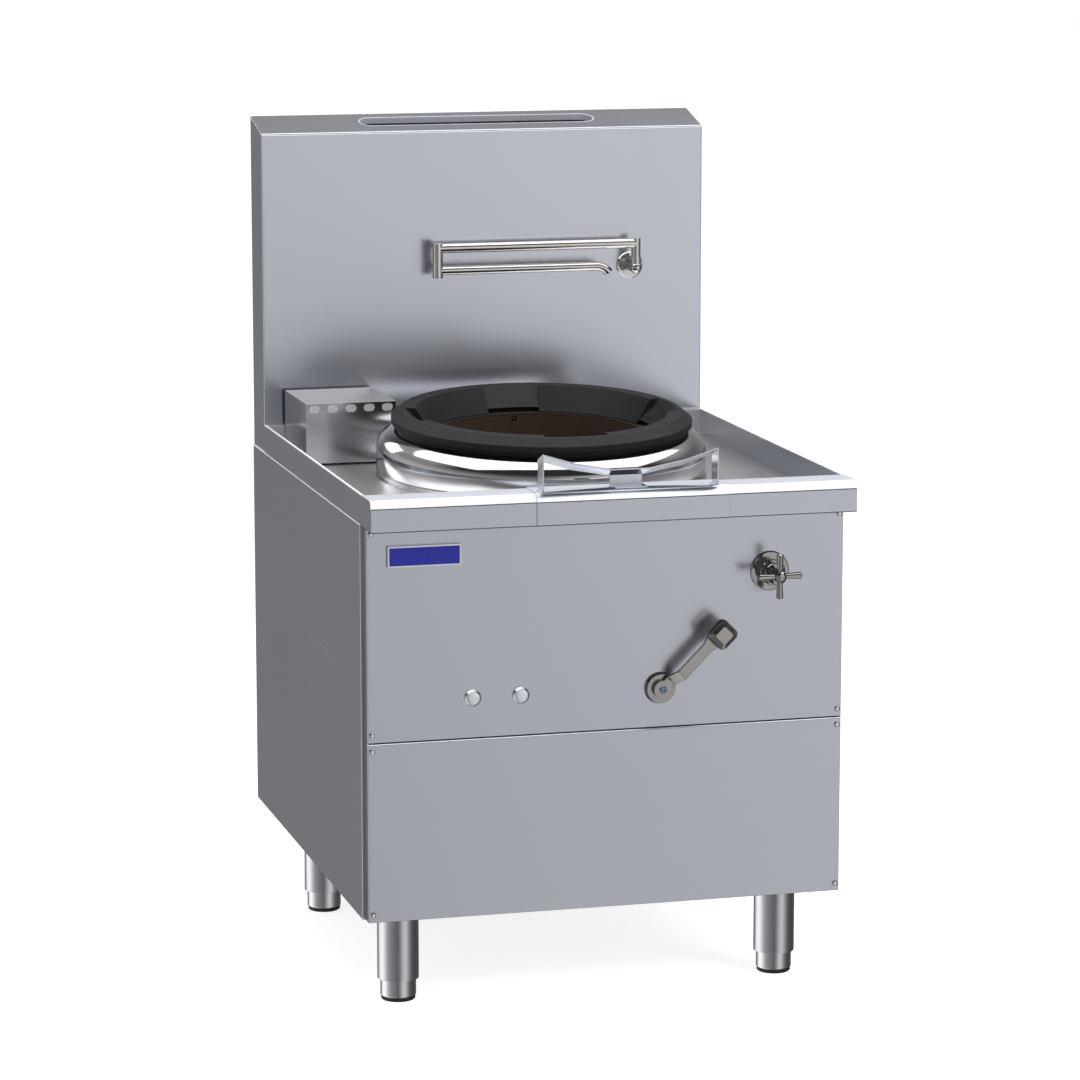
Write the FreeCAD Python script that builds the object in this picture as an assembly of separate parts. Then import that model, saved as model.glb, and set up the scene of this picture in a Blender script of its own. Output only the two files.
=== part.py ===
import FreeCAD, Part
import math
import os
from FreeCAD import Vector

# A free-standing gas wok range for a commercial kitchen, in millimetres.
# Working coordinates: X to the right with 0 on the centre line, Y to the rear with 0 on the outer
# face of the front panels, Z up with 0 on the floor. Each piece is moved at the end so that the
# origin is under the middle of the whole range.

# ---------------------------------------------------------------- driving sizes: cabinet
body_width = 702.0
body_depth = 779.5
panel_bottom = 141.0
cabinet_top = 704.0
upper_panel_height = 306.0
panel_gap = 1.0
sheet = 1.2
return_flange = 15.0
front_panel_inset = 4.0
front_panel_depth = 21.0
panel_edge_radius = 1.0
base_flange = 25.0

# panel screws
screw_inset_x = 6.0
screw_inset_z = 11.0
screw_head_radius = 4.5
screw_head_height = 2.4
screw_radius = 2.0
screw_clearance = 0.05

# legs and adjustable feet
leg_inset_x = 68.5
leg_inset_front = 100.0
leg_inset_rear = 174.5
leg_radius = 29.8
leg_wall = 1.5
leg_bottom = 31.5
leg_plate_width = 90.0
leg_plate = 3.0
plug_height = 15.0
foot_radius = 25.7
foot_depth_in_leg = 14.0
foot_edge_radius = 1.5
foot_pad_height = 6.0
foot_pad_inset = 1.2
foot_pad_bevel = 1.5
stem_radius = 8.0
stem_length = 52.0
turning_clearance = 0.05

# ---------------------------------------------------------------- driving sizes: hob top
rim_inset = 0.5
rim_height = 43.0
rim_thickness = 3.7
rim_edge_radius = 0.9
rail_front = 47.0
rail_bottom_rise = 5.0
rail_rear = 10.0
rail_nose_radius = 10.0
rail_floor_width = 45.0
deck_sheet = 1.5
deck_rise = 3.5
deck_step = 1.5
deck_step_spread = 3.0
deck_ledge_width = 24.0
upstand_ledge = 10.0

# ---------------------------------------------------------------- driving sizes: splashback
splash_depth = 85.0
splash_inset = 1.5
splash_height = 487.5
splash_cap_rise = 22.0
splash_edge_radius = 0.8
rear_recess = 1.2
flue_slot_length = 374.0
flue_slot_width = 38.5
flue_slot_from_rear = 36.0
flue_slot_lip = 19.0

# ---------------------------------------------------------------- driving sizes: burner head
burner_from_rear = 415.3
burner_tilt = 3.2
collar_radius = 243.8
collar_sheet = 1.5
collar_shoulder = 38.0
collar_curve = 32.0
collar_throat_radius = 203.5
collar_lip = 12.0
deck_hole_radius = 215.0
ring_radius = 222.3
ring_crest_radius = 208.0
ring_mouth_radius = 186.6
ring_throat_radius = 162.4
ring_shoulder_radius = 214.9
ring_height = 27.4
ring_lip_drop = 10.8
ring_lip_band = 8.4
ring_depth = 36.3
ring_toe = 7.6
ring_web = 16.0
ring_web_rise = 8.0
ring_spigot_depth = 10.0
ring_spigot_wall = 6.0
ring_spigot_clearance = 2.5
slot_half_angle = 13.9
slot_crest_radius = 201.0
slot_foot_radius = 167.0
slot_foot_height = 6.1
slot_foot_width = 12.0
lining_inner_radius = 158.0
lining_foot_radius = 152.0
lining_wall = 28.0
lining_gap = 1.0
lining_rim_radius = 176.0
lining_rim_rise = 4.4
lining_bottom = -121.0
lining_port_radius = 4.2
lining_port_drop = 8.5
shell_wall = 2.0
shell_gap = 0.3
shell_mouth_radius = 150.0
shell_flange_radius = 238.0
shell_flange = 3.0
flue_port_width = 140.0
flue_port_height = 46.0
flue_port_bottom = -76.0
flue_duct_width = 160.0
flue_duct_height = 60.0
flue_duct_drop = 79.0
flue_duct_reach = 65.0
burner_radius = 105.0
burner_height = 46.0
burner_tab = 30.0
burner_tab_width = 30.0
burner_tab_thickness = 5.0
jet_height = 42.0
jet_foot_radius = 9.0
jet_tip_radius = 6.0
jet_pitch = 40.0
jet_wall = 2.0
jet_bore_depth = 12.0
mixing_tube_radius = 21.0
mixing_tube_drop = 25.0
mixing_tube_wall = 4.0
bell_radius = 30.0
bell_wall = 3.0
bell_length = 25.0

# ---------------------------------------------------------------- driving sizes: strainer and waste
basket_side_gap = 26.8
basket_rear_gap = 2.0
basket_width = 138.0
basket_depth = 156.0
basket_height = 90.5
basket_foot = 3.0
basket_foot_radius = 6.0
basket_foot_inset = 12.0
basket_hole_count = 5
basket_hole_pitch = 28.0
basket_hole_length = 16.8
basket_hole_height = 10.4
basket_hole_drop = 8.5
drain_hole_radius = 4.0
drain_hole_pitch = 12.0
waste_offset_x = 36.0
waste_offset_y = 4.5
waste_pipe_radius = 19.0
waste_spigot_radius = 20.0
waste_wall = 2.0
waste_flange_radius = 32.0
waste_flange = 1.5
waste_neck_radius = 24.8
waste_neck_depth = 12.0
pipe_end_drop = 25.0
spigot_length = 24.0
hole_clearance = 0.2
pipe_clearance = 1.0

# ---------------------------------------------------------------- driving sizes: wok rest
rest_x = 23.5
saddle_width = 279.0
saddle_clearance = 0.3
saddle_hook = 12.0
rest_half_width = 127.5
rest_bend_outer = 80.0
rest_bend_inner = 27.0
rest_end_height = 53.3
rest_outer_height = 38.8
rest_middle_height = 29.0
rest_setback = 14.7
rest_strip_depth = 27.0
rest_strip_drop = 11.2
rest_sheet = 2.0
rest_leg_width = 46.8
rest_foot_setback = 12.0

# ---------------------------------------------------------------- driving sizes: spout
spout_inset = 118.5
spout_rise = 273.0
spout_offset = 36.0
spout_flange_radius = 21.0
spout_flange = 3.0
flange_bevel = 1.5
spout_pipe_radius = 8.0
spout_pipe_back = 16.0
spout_nut_flats = 26.0
spout_nut_length = 11.0
spout_ball_radius = 9.8
spout_collar_wall = 1.0
spout_collar_height = 7.0
riser_radius = 7.2
riser_height = 45.5
upper_arm_radius = 7.6
upper_arm_length = 316.5
upper_arm_rise = 38.0
coupling_radius = 8.1
coupling_drop = 8.0
coupling_split_rise = 20.0
lower_arm_radius = 7.0
lower_arm_rise = 3.7
lower_arm_straight = 252.0
lower_arm_bend_radius = 26.0
lower_arm_bend_angle = 52.0
spout_bore_radius = 5.4
spout_bore_depth = 9.0
swivel_pin_radius = 5.0
swivel_pin_length = 20.0
swivel_gap = 0.3
swivel_end_gap = 1.0

# ---------------------------------------------------------------- driving sizes: water tap
tap_inset = 113.6
tap_drop = 88.6
tap_flange_radius = 28.5
tap_flange = 3.0
tap_bonnet_radius = 18.7
tap_bonnet_reach = 16.0
tap_collar_radius = 15.4
tap_collar_reach = 27.0
tap_bevel = 1.0
tap_neck_radius = 9.0
tap_neck_reach = 35.0
tap_body_radius = 14.0
tap_body_depth = 62.0
tap_spindle_radius = 4.0
tap_spindle_depth = 20.0
tap_arm_height = 47.0
tap_hub_radius = 9.0
tap_hub_gap = 0.3
tap_hub_front = 57.0
tap_arm_reach = 32.0
tap_arm_root = 3.6
tap_arm_tip = 5.1
tap_arm_bevel = 1.5

# ---------------------------------------------------------------- driving sizes: knee lever
lever_x = 76.3
lever_rise = 56.8
lever_flange_foot = 23.0
lever_flange_face = 20.8
lever_flange = 8.0
lever_hub_radius = 12.8
lever_hub_front = 16.0
lever_angle = 45.0
lever_width = 16.6
lever_edge_radius = 1.4
lever_plate = 5.0
lever_crank_start = 16.6
lever_crank_run = 15.5
lever_crank_rise = 17.0
lever_length = 113.0
lever_neck_length = 26.0
lever_neck_width = 32.0
pad_thickness = 20.0
pad_proud = 16.0
pad_half = 17.8
pad_face_half = 9.6
pad_corner = 8.5
lever_socket_depth = 5.0
valve_spindle_radius = 6.0
valve_spindle_depth = 22.0
valve_spindle_room = 2.0
valve_width = 50.0
valve_depth = 60.0
valve_height = 50.0
valve_edge_radius = 6.0

# ---------------------------------------------------------------- driving sizes: push buttons
pilot_button_inset = 154.5
button_pitch = 69.5
button_rise = 57.5
button_ring_radius = 12.2
button_ring_front = 4.2
button_ring_bevel = 2.8
button_radius = 8.4
button_front = 4.8
button_dome = 0.5
button_rear = 12.0
button_travel = 4.0
button_end_gap = 2.0
switch_barrel_radius = 10.5
switch_barrel_depth = 30.0

# ---------------------------------------------------------------- driving sizes: pipes
gas_inlet_x = 150.0
inlet_from_rear = 79.5
gas_pipe_radius = 12.6
gas_spigot_radius = 13.4
gas_pipe_bore = 10.5
gas_pipe_bend = 32.0
gas_run_rise = 79.0
gas_run_y = 40.0
burner_pipe_radius = 8.0
burner_pipe_bend = 20.0
injector_radius = 7.0
gas_riser_y = 42.976131
injector_length = 22.0
injector_gap = 12.0
injector_block = 26.0
injector_block_radius = 13.0
water_pipe_radius = 9.8
water_spigot_radius = 10.5
water_pipe_bore = 8.0
water_pipe_bend = 30.0
water_run_rise = 121.0
water_run_y = 45.0
riser_pipe_radius = 7.5
riser_pipe_bend = 14.0
riser_run_drop = 36.0
riser_from_rear = 44.5
pilot_tube_radius = 3.0
pilot_tube_bend = 14.0
pilot_run = 60.0
pilot_head_radius = 6.0
pilot_head_height = 34.0
pilot_head_gap = 14.0
bore_depth = 30.0

# ---------------------------------------------------------------- sizes worked out from those above
half_body = body_width / 2
skin_inner = half_body - sheet
base_z = panel_bottom + sheet
half_front = half_body - front_panel_inset
half_rim = half_body - rim_inset
rim_inner = half_rim - rim_thickness
rim_top = cabinet_top + rim_height
rail_bottom = cabinet_top + rail_bottom_rise
deck_floor = cabinet_top + deck_rise
deck_ledge_top = deck_floor + deck_step
burner_y = body_depth - burner_from_rear
splash_y = body_depth - splash_depth
upstand_face_y = splash_y - upstand_ledge
half_splash = half_body - splash_inset
splash_front_top = cabinet_top + splash_height
splash_rear_top = splash_front_top + splash_cap_rise
splash_slope = splash_cap_rise / splash_depth
flue_slot_y = body_depth - flue_slot_from_rear
leg_x = half_body - leg_inset_x
leg_rear_y = body_depth - leg_inset_rear
collar_top = collar_shoulder + collar_curve
ring_seat = collar_top
ring_crest = ring_seat + ring_height
ring_bottom = ring_crest - ring_depth
lining_top = ring_bottom - lining_gap
lining_outer_radius = lining_inner_radius + lining_wall
shell_inner_radius = lining_outer_radius + shell_gap
shell_outer_radius = shell_inner_radius + shell_wall
shell_bottom = lining_bottom - shell_wall
flue_duct_z = cabinet_top - flue_duct_drop
basket_x = basket_side_gap + basket_width / 2 - rim_inner
basket_rear_y = upstand_face_y - basket_rear_gap
basket_front_y = basket_rear_y - basket_depth
basket_floor = deck_floor + basket_foot
basket_top = basket_floor + basket_height
waste_x = basket_x + waste_offset_x
waste_y = basket_front_y + basket_depth / 2 - waste_offset_y
pipe_end = panel_bottom - pipe_end_drop
inlet_y = body_depth - inlet_from_rear
saddle_top = rim_top + sheet
rest_front_y = rest_setback - rail_front
spout_x = half_body - spout_inset
spout_y = splash_y - spout_offset
spout_z = cabinet_top + spout_rise
elbow_x = spout_x - upper_arm_length
upper_arm_z = spout_z + upper_arm_rise
lower_arm_z = spout_z + lower_arm_rise
coupling_split = spout_z + coupling_split_rise
tap_x = half_body - tap_inset
tap_z = cabinet_top - tap_drop
tap_handle_y = -tap_arm_height
tap_hub_rear = tap_neck_reach + tap_hub_gap
burner_lean = math.radians(burner_tilt)
riser_setback = burner_y - gas_riser_y - (shell_bottom - mixing_tube_drop) * math.sin(burner_lean)
injector_reach = injector_gap + injector_length + injector_block / 2
mixing_tube_length = riser_setback / math.cos(burner_lean) - injector_reach - burner_radius
panel_split = cabinet_top - upper_panel_height
lever_z = panel_split + lever_rise
lever_crank_end = lever_crank_start + lever_crank_run
lever_bar_front = lever_hub_front + lever_crank_rise
lever_neck_start = lever_length - lever_neck_length
pad_front = lever_bar_front + pad_proud
pilot_button_x = pilot_button_inset - half_body
igniter_button_x = pilot_button_x + button_pitch
button_z = panel_split + button_rise
gas_run_z = panel_bottom + gas_run_rise
water_run_z = panel_bottom + water_run_rise
riser_run_z = cabinet_top - riser_run_drop
riser_run_y = body_depth - riser_from_rear
centre_y = (body_depth - tap_hub_front) / 2
past = 1.0
far = 2 * body_width


# ---------------------------------------------------------------- small helpers
def box(x0, x1, y0, y1, z0, z1):
    """A block between two opposite corners."""
    return Part.makeBox(x1 - x0, y1 - y0, z1 - z0, Vector(x0, y0, z0))


def rod(radius, start, direction, length):
    """A round bar from start along direction."""
    return Part.makeCylinder(radius, length, Vector(*start), Vector(*direction))


def taper(start_radius, end_radius, start, direction, length):
    """A round bar whose radius changes evenly along its length."""
    return Part.makeCone(start_radius, end_radius, length, Vector(*start), Vector(*direction))


def face_of(points):
    """A flat face inside a closed outline of straight lines."""
    return Part.Face(Part.makePolygon([Vector(*p) for p in points] + [Vector(*points[0])]))


def prism_x(outline, x0, x1):
    """An outline of (y, z) points drawn out along X."""
    return face_of([(x0, y, z) for y, z in outline]).extrude(Vector(x1 - x0, 0, 0))


def prism_y(outline, y0, y1):
    """An outline of (x, z) points drawn out along Y."""
    return face_of([(x, y0, z) for x, z in outline]).extrude(Vector(0, y1 - y0, 0))


def offset_path(path, distance):
    """An open path moved to its left by the distance, with mitred corners."""
    normals = []
    for (a0, b0), (a1, b1) in zip(path, path[1:]):
        length = math.hypot(a1 - a0, b1 - b0)
        normals.append(((b0 - b1) / length, (a1 - a0) / length))
    moved = []
    for index, (a, b) in enumerate(path):
        before = normals[max(index - 1, 0)]
        after = normals[min(index, len(normals) - 1)]
        reach = distance / (1 + before[0] * after[0] + before[1] * after[1])
        moved.append((a + reach * (before[0] + after[0]), b + reach * (before[1] + after[1])))
    return moved


def folded(path, thickness):
    """The closed outline of a folded sheet: the path is one skin and the metal lies to its left."""
    return path + offset_path(path, thickness)[::-1]


def round_edges(shape, radius, wanted):
    """Rounds the straight edges whose two ends both satisfy the test."""
    edges = [edge for edge in shape.Edges if all(wanted(v.Point) for v in edge.Vertexes)]
    return shape.makeFillet(radius, edges)


def near(value, target):
    """True when two lengths agree to a hundredth of a millimetre."""
    return abs(value - target) < 0.01


def tilted(shape):
    """Turns a piece of the burner head from upright to its lean towards the cook."""
    turned = shape.copy()
    turned.rotate(Vector(0, burner_y, deck_floor), Vector(1, 0, 0), burner_tilt)
    return turned


def tilt_point(x, y, height):
    """Where a point of the burner head lies once the head leans; y runs from the burner's axis."""
    lean = math.radians(burner_tilt)
    leaned_y = burner_y + y * math.cos(lean) - height * math.sin(lean)
    return (x, leaned_y, deck_floor + y * math.sin(lean) + height * math.cos(lean))


def turned_profile(profile, angle=360.0):
    """Revolves (radius, height) points about the burner's upright axis; height 0 is the deck floor."""
    points = [(radius, burner_y, deck_floor + height) for radius, height in profile]
    return face_of(points).revolve(Vector(0, burner_y, 0), Vector(0, 0, 1), angle)


def spun_y(profile, x, z):
    """Revolves (radius, y) points about an axis along Y through (x, z)."""
    points = [(x + radius, y, z) for radius, y in profile]
    return face_of(points).revolve(Vector(x, 0, z), Vector(0, 1, 0), 360)


def obround(centre_x, centre_z, length, height, y0, y1):
    """A bar along Y whose section is a slot with round ends, long side along X."""
    radius = height / 2
    reach = length / 2 - radius
    middle = box(centre_x - reach, centre_x + reach, y0, y1, centre_z - radius, centre_z + radius)
    for side in (-1, 1):
        middle = middle.fuse(rod(radius, (centre_x + side * reach, y0, centre_z), (0, 1, 0), y1 - y0))
    return middle.removeSplitter()


def bent_path(points, bend_radius):
    """A wire of straight runs joined by tangent arcs at the inner points."""
    points = [Vector(*p) for p in points]
    edges = []
    start = points[0]
    for before, corner, after in zip(points, points[1:], points[2:]):
        arriving = (corner - before).normalize()
        leaving = (after - corner).normalize()
        turn = arriving.getAngle(leaving)
        setback = bend_radius * math.tan(turn / 2)
        arc_start = corner - arriving * setback
        arc_end = corner + leaving * setback
        inward = (leaving - arriving).normalize()
        middle = corner + inward * (bend_radius / math.cos(turn / 2) - bend_radius)
        edges.append(Part.LineSegment(start, arc_start).toShape())
        edges.append(Part.Arc(arc_start, middle, arc_end).toShape())
        start = arc_end
    edges.append(Part.LineSegment(start, points[-1]).toShape())
    return Part.Wire(edges)


def bent_pipe(points, radius, bend_radius):
    """A round pipe along a bent path, solid inside."""
    path = bent_path(points, bend_radius)
    first = Vector(*points[0])
    heading = Vector(*points[1]) - first
    section = Part.Wire(Part.makeCircle(radius, first, heading))
    return path.makePipeShell([section], True, False)


# ---------------------------------------------------------------- cabinet
def screw_places():
    """Centres of the front panel screws, four on each panel."""
    x = half_front - screw_inset_x
    upper_bottom = panel_split + panel_gap / 2
    lower_top = panel_split - panel_gap / 2
    heights = (panel_bottom + screw_inset_z, lower_top - screw_inset_z)
    heights += (upper_bottom + screw_inset_z, cabinet_top - screw_inset_z)
    return [(side * x, z) for z in heights for side in (-1, 1)]


def screw_holes(y0, y1):
    """Clearance holes for the panel screws, through sheets between y0 and y1."""
    radius = screw_radius + screw_clearance
    holes = [rod(radius, (x, y0, z), (0, 1, 0), y1 - y0) for x, z in screw_places()]
    return Part.makeCompound(holes)


def panel_screws():
    """Dome-head screws through the front panels into the side panels' front flanges."""
    dome = []
    for step in range(4):
        angle = math.pi / 2 * step / 4
        dome.append((screw_head_radius * math.cos(angle), -screw_head_height * math.sin(angle)))
    dome.append((0, -screw_head_height))
    shank_end = front_panel_depth + 2 * sheet
    profile = dome + [(0, shank_end), (screw_radius, shank_end), (screw_radius, 0)]
    return Part.makeCompound([spun_y(profile, x, z) for x, z in screw_places()])


def front_panel(z0, z1):
    """A shallow folded tray: the face with a return along each of its four sides."""
    half = half_front
    block = box(-half, half, 0, front_panel_depth, z0, z1)
    block = round_edges(block, panel_edge_radius, lambda p: near(p.y, 0))
    hollow = box(-half + sheet, half - sheet, sheet, front_panel_depth, z0 + sheet, z1 - sheet)
    return block.cut(hollow).cut(screw_holes(-1, sheet + 1))


def upper_front_panel():
    """The control panel, with holes for the tap, the knee lever's spindle and the two buttons."""
    panel = front_panel(panel_split + panel_gap / 2, cabinet_top)
    switch_hole = switch_barrel_radius + hole_clearance
    holes = [
        rod(tap_body_radius + hole_clearance, (tap_x, -1, tap_z), (0, 1, 0), 2 + sheet),
        rod(valve_spindle_radius + 2, (lever_x, -1, lever_z), (0, 1, 0), 2 + sheet),
        rod(switch_hole, (pilot_button_x, -1, button_z), (0, 1, 0), 2 + sheet),
        rod(switch_hole, (igniter_button_x, -1, button_z), (0, 1, 0), 2 + sheet),
    ]
    return panel.cut(Part.makeCompound(holes))


def lower_front_panel():
    """The plain panel below the control panel."""
    return front_panel(panel_bottom, panel_split - panel_gap / 2)


def side_panel(side):
    """A side skin with inward flanges on all four edges."""
    inner_x = half_body - return_flange
    block = box(inner_x, half_body, front_panel_depth, body_depth, panel_bottom, cabinet_top)
    hollow = box(inner_x - 1, skin_inner, front_panel_depth + sheet, body_depth - sheet,
                 panel_bottom + sheet, cabinet_top - sheet)
    panel = block.cut(hollow)
    if side < 0:
        panel = panel.mirror(Vector(0, 0, 0), Vector(1, 0, 0))
    return panel.cut(screw_holes(front_panel_depth - 1, front_panel_depth + sheet + 1))


def rear_panel():
    """The flat back, lapped inside the side panels' rear flanges."""
    rear = body_depth - sheet
    return box(-skin_inner, skin_inner, rear - sheet, rear, base_z, cabinet_top - sheet)


def base_panel():
    """The cabinet floor: a tray with upturned sides, holed for the pipes."""
    y0 = front_panel_depth + sheet
    y1 = body_depth - 2 * sheet
    block = box(-skin_inner, skin_inner, y0, y1, base_z, base_z + base_flange)
    hollow = box(-skin_inner + sheet, skin_inner - sheet, y0 + sheet, y1 - sheet,
                 base_z + sheet, base_z + base_flange + 1)
    holes = [
        rod(gas_pipe_radius + 1, (gas_inlet_x, inlet_y, base_z - 1), (0, 0, 1), 2 + sheet),
        rod(water_pipe_radius + 1, (tap_x, inlet_y, base_z - 1), (0, 0, 1), 2 + sheet),
        rod(waste_pipe_radius + 1, (waste_x, waste_y, base_z - 1), (0, 0, 1), 2 + sheet),
    ]
    tray = block.cut(hollow).cut(screw_holes(y0 - 1, y0 + sheet + 1))
    return tray.cut(Part.makeCompound(holes))


# ---------------------------------------------------------------- legs and feet
def leg(x, y):
    """A tube welded under a square plate, with a threaded plug inside for the foot."""
    plate_z = base_z - leg_plate
    half = leg_plate_width / 2
    plate = box(x - half, x + half, y - half, y + half, plate_z, base_z)
    tube = rod(leg_radius, (x, y, leg_bottom), (0, 0, 1), plate_z - leg_bottom)
    tube = tube.cut(rod(leg_radius - leg_wall, (x, y, leg_bottom), (0, 0, 1), plate_z - leg_bottom))
    plug_z = leg_bottom + foot_depth_in_leg
    plug = rod(leg_radius - leg_wall, (x, y, plug_z), (0, 0, 1), plug_height)
    plug = plug.cut(rod(stem_radius + turning_clearance, (x, y, plug_z), (0, 0, 1), plug_height))
    return plate.fuse([tube, plug])


def foot(x, y):
    """The adjustable foot: a bright sleeve on a stem that screws into the leg's plug."""
    top = leg_bottom + foot_depth_in_leg
    sleeve = rod(foot_radius, (x, y, foot_pad_height), (0, 0, 1), top - foot_pad_height)
    edge = round_edges(sleeve, foot_edge_radius, lambda p: near(p.z, foot_pad_height))
    return edge.fuse(rod(stem_radius, (x, y, top), (0, 0, 1), stem_length))


def foot_pad(x, y):
    """The rubber pad under a foot."""
    radius = foot_radius - foot_pad_inset
    lower = taper(radius - foot_pad_bevel, radius, (x, y, 0), (0, 0, 1), foot_pad_bevel)
    upper = rod(radius, (x, y, foot_pad_bevel), (0, 0, 1), foot_pad_height - foot_pad_bevel)
    return lower.fuse(upper)


# ---------------------------------------------------------------- hob top
def front_rail():
    """The rolled front rail: face, round nose, flat top, inner wall and closed ends."""
    outer = prism_x([(-rail_front, rail_bottom), (-rail_front, rim_top), (rail_rear, rim_top),
                     (rail_rear, cabinet_top), (0, cabinet_top), (0, rail_bottom)],
                    -half_rim, half_rim)
    outer = round_edges(outer, rail_nose_radius,
                        lambda p: near(p.y, -rail_front) and near(p.z, rim_top))
    skin_y = -rail_front + sheet
    end = half_rim - sheet
    inner = prism_x([(skin_y, rail_bottom + sheet), (skin_y, rim_top - sheet),
                     (rail_rear - sheet, rim_top - sheet), (rail_rear - sheet, cabinet_top - past),
                     (rail_floor_width - rail_front, cabinet_top - past),
                     (rail_floor_width - rail_front, rail_bottom + sheet)], -end, end)
    inner = round_edges(inner, rail_nose_radius - sheet,
                        lambda p: near(p.y, skin_y) and near(p.z, rim_top - sheet))
    return outer.cut(inner)


def side_rim(side):
    """A narrow inverted channel along one side of the hob."""
    path = [(half_rim, cabinet_top), (half_rim, rim_top), (rim_inner, rim_top),
            (rim_inner, deck_ledge_top)]
    rim = prism_y(folded(path, sheet), rail_rear, splash_y)
    rim = round_edges(rim, rim_edge_radius, lambda p: near(p.z, rim_top))
    if side < 0:
        rim = rim.mirror(Vector(0, 0, 0), Vector(1, 0, 0))
    return rim


def hob_deck():
    """The hob floor: a ledge round a shallow dished floor, folded up along the rear."""
    under = deck_floor - deck_sheet
    half = half_rim - sheet
    rear = upstand_face_y + sheet
    plate = box(-half, half, rail_rear, rear, under, deck_ledge_top)
    inner = rim_inner - deck_ledge_width
    front = rail_rear + deck_ledge_width
    low = [(-inner, front), (inner, front), (inner, upstand_face_y), (-inner, upstand_face_y)]
    outer = inner + deck_step_spread
    outer_front = front - deck_step_spread
    high = [(-outer, outer_front), (outer, outer_front), (outer, upstand_face_y),
            (-outer, upstand_face_y)]
    low_wire = Part.makePolygon([Vector(x, y, deck_floor) for x, y in low + low[:1]])
    high_wire = Part.makePolygon([Vector(x, y, deck_ledge_top) for x, y in high + high[:1]])
    dish = Part.makeLoft([low_wire, high_wire], True, True)
    path = [(upstand_face_y, under), (upstand_face_y, rim_top), (splash_y, rim_top)]
    upstand = prism_x(folded(path, -sheet), -rim_inner, rim_inner)
    drop = deck_ledge_top - under + 2 * past
    holes = Part.makeCompound([
        rod(deck_hole_radius, (0, burner_y, under - past), (0, 0, 1), drop),
        rod(waste_neck_radius + hole_clearance, (waste_x, waste_y, under - past), (0, 0, 1), drop),
    ])
    return plate.cut(dish).fuse(upstand).cut(holes)


# ---------------------------------------------------------------- splashback
def under_cap(y):
    """Height of the cap's underside at a distance from the front."""
    rise = math.hypot(1, splash_slope)
    return splash_front_top - sheet * rise + splash_slope * (y - splash_y)


def splash_sheet(x0, x1, y0, y1):
    """An upright sheet of the splashback, its top cut to the cap's slope."""
    return prism_x([(y0, cabinet_top), (y0, under_cap(y0)), (y1, under_cap(y1)), (y1, cabinet_top)],
                   x0, x1)


def splashback_front():
    """The front sheet, holed for the spout's pipe."""
    end = half_splash - sheet
    panel = splash_sheet(-end, end, splash_y, splash_y + sheet)
    hole = rod(spout_pipe_radius + hole_clearance, (spout_x, splash_y - 1, spout_z), (0, 1, 0),
               2 + sheet)
    return panel.cut(hole)


def splashback_side(side):
    """One side sheet of the splashback."""
    low, high = sorted((side * (half_splash - sheet), side * half_splash))
    return splash_sheet(low, high, splash_y, body_depth)


def splashback_rear_cover():
    """The back sheet, set in a little from the sides' rear edges."""
    end = half_splash - sheet
    rear = body_depth - rear_recess
    return splash_sheet(-end, end, rear - sheet, rear)


def splashback_cap():
    """The sloping top with its long flue slot and the slot's turned-down lip."""
    path = [(splash_y, splash_front_top), (body_depth, splash_rear_top)]
    plate = prism_x(folded(path, -sheet), -half_splash, half_splash)
    plate = round_edges(plate, splash_edge_radius,
                        lambda p: near(p.y, splash_y) and near(p.z, splash_front_top))
    plug = slot_plug(flue_slot_length, flue_slot_width, -flue_slot_lip, -past / 10)
    room = slot_plug(flue_slot_length, flue_slot_width, -flue_slot_lip, splash_depth)
    hole = slot_plug(flue_slot_length - 2 * sheet, flue_slot_width - 2 * sheet,
                     -flue_slot_lip - past, splash_depth)
    behind = box(-far, far, body_depth, body_depth + far, 0, splash_rear_top + far)
    return plate.cut(room).cut(behind).fuse(plug).cut(hole)


def slot_plug(length, width, low, high):
    """A slot-shaped block square to the cap, its heights counted from the cap's top."""
    radius = width / 2
    reach = length / 2 - radius
    plug = box(-reach, reach, -radius, radius, low, high)
    for side in (-1, 1):
        plug = plug.fuse(rod(radius, (side * reach, 0, low), (0, 0, 1), high - low))
    plug = plug.removeSplitter()
    plug.rotate(Vector(0, 0, 0), Vector(1, 0, 0), math.degrees(math.atan(splash_slope)))
    slot_z = splash_front_top + splash_slope * (flue_slot_y - splash_y)
    return plug.translated(Vector(0, flue_slot_y, slot_z))


# ---------------------------------------------------------------- burner head
def arc_points(centre_radius, centre_height, radius, start, end, steps):
    """(radius, height) points along an arc, angles in degrees from outward."""
    points = []
    for step in range(steps + 1):
        angle = math.radians(start + (end - start) * step / steps)
        points.append((centre_radius + radius * math.cos(angle),
                       centre_height + radius * math.sin(angle)))
    return points


def burner_collar():
    """The bright collar: an upright wall, a quarter-round shoulder and a turned-down throat."""
    shoulder = arc_points(collar_radius - collar_curve, collar_shoulder, collar_curve, 0, 90, 8)
    path = [(collar_radius, -collar_shoulder)] + shoulder
    path += [(collar_throat_radius, collar_top), (collar_throat_radius, collar_top - collar_lip)]
    collar = tilted(turned_profile(folded(path, collar_sheet)))
    return collar.cut(box(-far, far, -far, far, deck_floor - far, deck_floor))


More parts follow.
